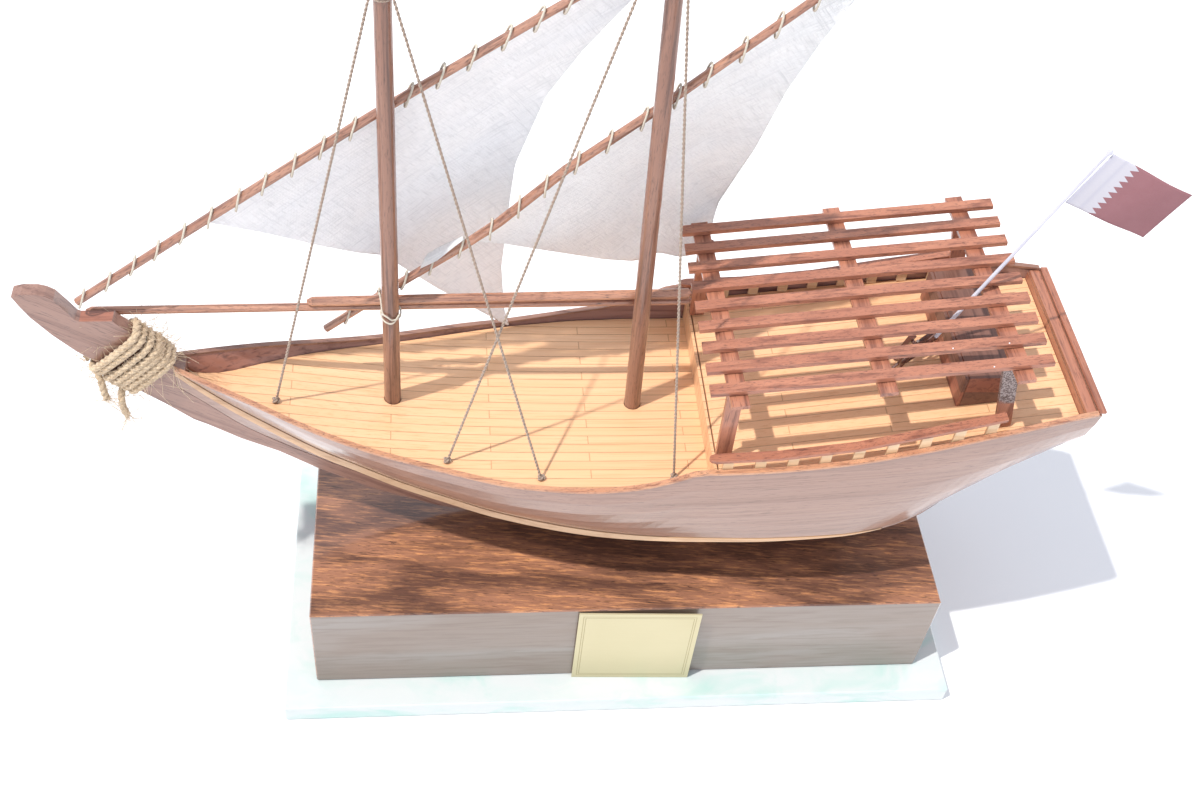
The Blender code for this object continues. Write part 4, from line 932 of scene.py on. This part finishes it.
def add_jute():
    jute = rope_material("jute", (0.78, 0.62, 0.43), (0.40, 0.28, 0.17))
    chance = random.Random(11)
    route = lashing_route()
    offset, radius = TURN_STRAND
    strands = laid_strands(route, ROPE_STRANDS, offset, ROPE_LAY)
    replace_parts(curve_piece("stem_lashing_rope", strands, radius, jute, 2), "stem_lashing")
    roots = chance.choices(route, k=FIBRES)
    places = [(point, (point - LASHING_MIDDLE).normalized()) for point in roots]
    offset, radius = TAIL_STRAND
    for name, own in ROPE_ENDS.items():
        path = smooth_route(own, TAIL_POINTS)
        strands = laid_strands(path, ROPE_STRANDS, offset, ROPE_LAY)
        tail = curve_piece(name + "_rope", strands, radius, jute, 2)
        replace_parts(tail, name)
        length = sum((b - a).length for a, b in zip(path, path[1:]))
        tuple(path[0])
        [tuple(point) for point in path]
        down = (path[-1] - path[-3]).normalized()
        places += [(path[-1], down)] * TIP_FIBRES
        free = path[TAIL_COVERED::2]
        places += [(point, Vector((chance.uniform(-1, 1), -0.6, 0.2))) for point in free]
    curve_piece("jute_fibres", fibres(chance, places), FIBRE_RADIUS, jute, 0)


SHROUDS = {  # the mast, and the foot on the deck
    "shroud_fore_1": ("fore", (-0.2144, -0.0114)),
    "shroud_fore_2": ("fore", (-0.0626, -0.0584)),
    "shroud_aft_1": ("aft", (-0.1164, -0.0468)),
    "shroud_aft_2": ("aft", (0.0149, -0.0584)),
}
HOUNDS = {"fore": Vector((-0.1462, 0, 0.476)), "aft": Vector((-0.0144, 0, 0.522))}
SHROUD_OFF_MAST = 0.0058
TWINE_STRANDS, TWINE_OFFSET, TWINE_RADIUS, TWINE_LAY, TWINE_STEP = 2, 0.00036, 0.00048, 0.0052, 0.0004
KNOT_SIZE, KNOT_FLATTEN, KNOT_RISE, KNOT_POINTS, KNOT_THREAD = 0.0011, 0.6, 0.0009, 48, 0.0006
WRAPS, WRAP_STEPS, WRAP_PITCH, WRAP_RADIUS, WRAP_THREAD = 3, 20, 0.0011, 0.0051, 0.0005


def wraps_route(top):
    """Turns of thread round a mast at its hounds."""
    start = top - Vector((0, 0, 2 * WRAP_PITCH))
    points = []
    for i in range(WRAPS * WRAP_STEPS + 1):
        turn = 2 * math.pi * i / WRAP_STEPS
        x, y = WRAP_RADIUS * math.cos(turn), WRAP_RADIUS * math.sin(turn)
        points.append(start + Vector((x, y, WRAP_PITCH * i / WRAP_STEPS)))
    return points


def knot_route(foot):
    """A trefoil that lies on the deck."""
    points = []
    for i in range(KNOT_POINTS + 1):
        turn = 2 * math.pi * i / KNOT_POINTS
        wide = KNOT_SIZE * KNOT_FLATTEN * (2 + math.cos(3 * turn))
        high = KNOT_SIZE + KNOT_RISE * math.sin(3 * turn)
        points.append(foot + Vector((wide * math.cos(2 * turn), wide * math.sin(2 * turn), high)))
    return points


def add_shrouds():
    twine = rope_material("shroud_twine", (0.51, 0.40, 0.31), (0.22, 0.145, 0.11), 2.0)
    for name, (mast, place) in SHROUDS.items():
        foot = Vector((*place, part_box(name)[0][2]))
        top = HOUNDS[mast]
        start = top + Vector((foot.x - top.x, foot.y - top.y, 0)).normalized() * SHROUD_OFF_MAST
        count = round((foot - start).length / TWINE_STEP)
        points = [start.lerp(foot, i / count) for i in range(count + 1)]
        strands = laid_strands(points, TWINE_STRANDS, TWINE_OFFSET, TWINE_LAY)
        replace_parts(curve_piece(name + "_twine", strands, TWINE_RADIUS, twine), name)
        curve_piece(name + "_knot", [knot_route(foot)], KNOT_THREAD, twine)
    for mast, top in HOUNDS.items():
        curve_piece(f"mast_wraps_{mast}", [wraps_route(top)], WRAP_THREAD, twine)


LACING_THREAD, TIE_THREAD, TIE_POINTS = 0.00060, 0.0005, 120
LACING_TURN, LACING_START = 40, -0.375  # points in each turn, and where it starts, as a share of a turn
LACING_LEAN, LACING_REACH = 0.0056, 0.0034  # along the yard and away from its middle
LACING_DROP = 0.0014  # how much lower a turn goes that takes the sail's head
LACING_STRAY, LACING_SLACK = 0.0015, (0.0002, 0.0012)
LACING_AHEAD = 0.01  # share of the yard over which its direction is taken
MAST_TIE = [  # down over the spars, round the mast's near side and on round it once more
    (-0.1541, 0.0110, 0.2802),
    (-0.1532, 0.0050, 0.2804),
    (-0.1525, 0.0010, 0.2776),
    (-0.1517, -0.0035, 0.2746),
    (-0.1492, -0.0058, 0.2740),
    (-0.1463, -0.0058, 0.2716),
    (-0.1424, -0.0030, 0.2714),
    (-0.1422, 0.0022, 0.2730),
    (-0.1460, 0.0058, 0.2735),
    (-0.1512, 0.0045, 0.2728),
    (-0.1530, -0.0006, 0.2716),
    (-0.1506, -0.0052, 0.2700),
    (-0.1463, -0.0060, 0.2693),
    (-0.1424, -0.0030, 0.2738),
]


def lacing_route(sail):
    """Thread that goes round a yard in tight turns and runs along behind it between them."""
    length = sum((Vector(b) - Vector(a)).length for a, b in zip(sail.route, sail.route[1:]))
    chance = random.Random(7)
    route = []
    for k in range(int((length - sail.first_turn) / sail.pitch)):
        share = (sail.first_turn + k * sail.pitch + chance.uniform(-LACING_STRAY, LACING_STRAY)) / length
        middle = route_at(sail.route, share)
        ahead = (route_at(sail.route, share + LACING_AHEAD) - middle).normalized()
        up = Vector((0, 0, 1)) - ahead * ahead.z
        up.normalize()
        side = ahead.cross(up)
        drop = LACING_DROP if sail.head[0] < share < sail.head[1] else 0.0
        slack = chance.uniform(*LACING_SLACK)
        for i in range(LACING_TURN + 1):
            turn = 2 * math.pi * (i / LACING_TURN + LACING_START)
            rise, out = math.cos(turn), math.sin(turn)
            high = LACING_REACH + (slack if rise > 0 else drop)
            place = middle + ahead * (LACING_LEAN * rise)
            route.append(place + up * (high * rise) + side * (LACING_REACH * out))
    return route


def add_lacing():
    """Thread wound round each yard through its sail's head, and the one that ties the spars to a mast."""
    thread = plain("lacing_thread", (0.66, 0.60, 0.50), (0.48, 0.43, 0.35), 0.8, scale=700.0)
    for sail in SAILS:
        curve_piece(sail.name + "_lacing", [lacing_route(sail)], LACING_THREAD, thread)
    curve_piece("mast_tie", [smooth_route(MAST_TIE, TIE_POINTS)], TIE_THREAD, thread)


SLAT_PINS = ((0.1580, 2), (0.1889, 2), (0.1764, 1))  # place along the hull, and the slat's number
ROOF_START_TOP, ROOF_RISE = 0.2780, 0.0242  # top of the roof's fore end, and its rise to the aft end
PIN_FROM_EDGE, PIN_PROUD = 0.0012, 0.0002
PIN_FOOT, PIN_HEAD, PIN_DEEP, PIN_EASED = 0.0005, 0.0003, 0.0005, 0.0001


def add_slat_pins():
    white = plain("pin_white", (0.92, 0.91, 0.93), (0.80, 0.79, 0.82), 0.4, scale=300.0)
    for i, (x, slat) in enumerate(SLAT_PINS):
        low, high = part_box(f"roof_slat_{slat}")
        top = ROOF_START_TOP + ROOF_RISE * (x - low[0]) / (high[0] - low[0])
        place = Matrix.Translation((x, low[1] + PIN_FROM_EDGE, top + PIN_PROUD))
        shape = bmesh.new()
        bmesh.ops.create_cone(shape, cap_ends=True, segments=16, radius1=PIN_FOOT, radius2=PIN_HEAD,
                              depth=PIN_DEEP, matrix=place)
        bmesh.ops.bevel(shape, geom=shape.edges[:], offset=PIN_EASED, segments=2, affect="EDGES")
        mesh = bpy.data.meshes.new(f"slat_pin_{i + 1}")
        shape.to_mesh(mesh)
        shape.free()
        mesh.materials.append(white)
        pin = bpy.data.objects.new(mesh.name, mesh)
        bpy.context.scene.collection.objects.link(pin)
        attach(pin, BOAT)


add_camera()
add_light()
add_floor()
dress_hull()
dress_rig()
dress_poop()
dress_base()
ease_edges(["stem_keel_board", *named("roof_", "transom_", "bench", "gunwale_cap")])
add_sails()
add_staff()
add_flag()
add_jute()
add_shrouds()
add_lacing()
add_slat_pins()
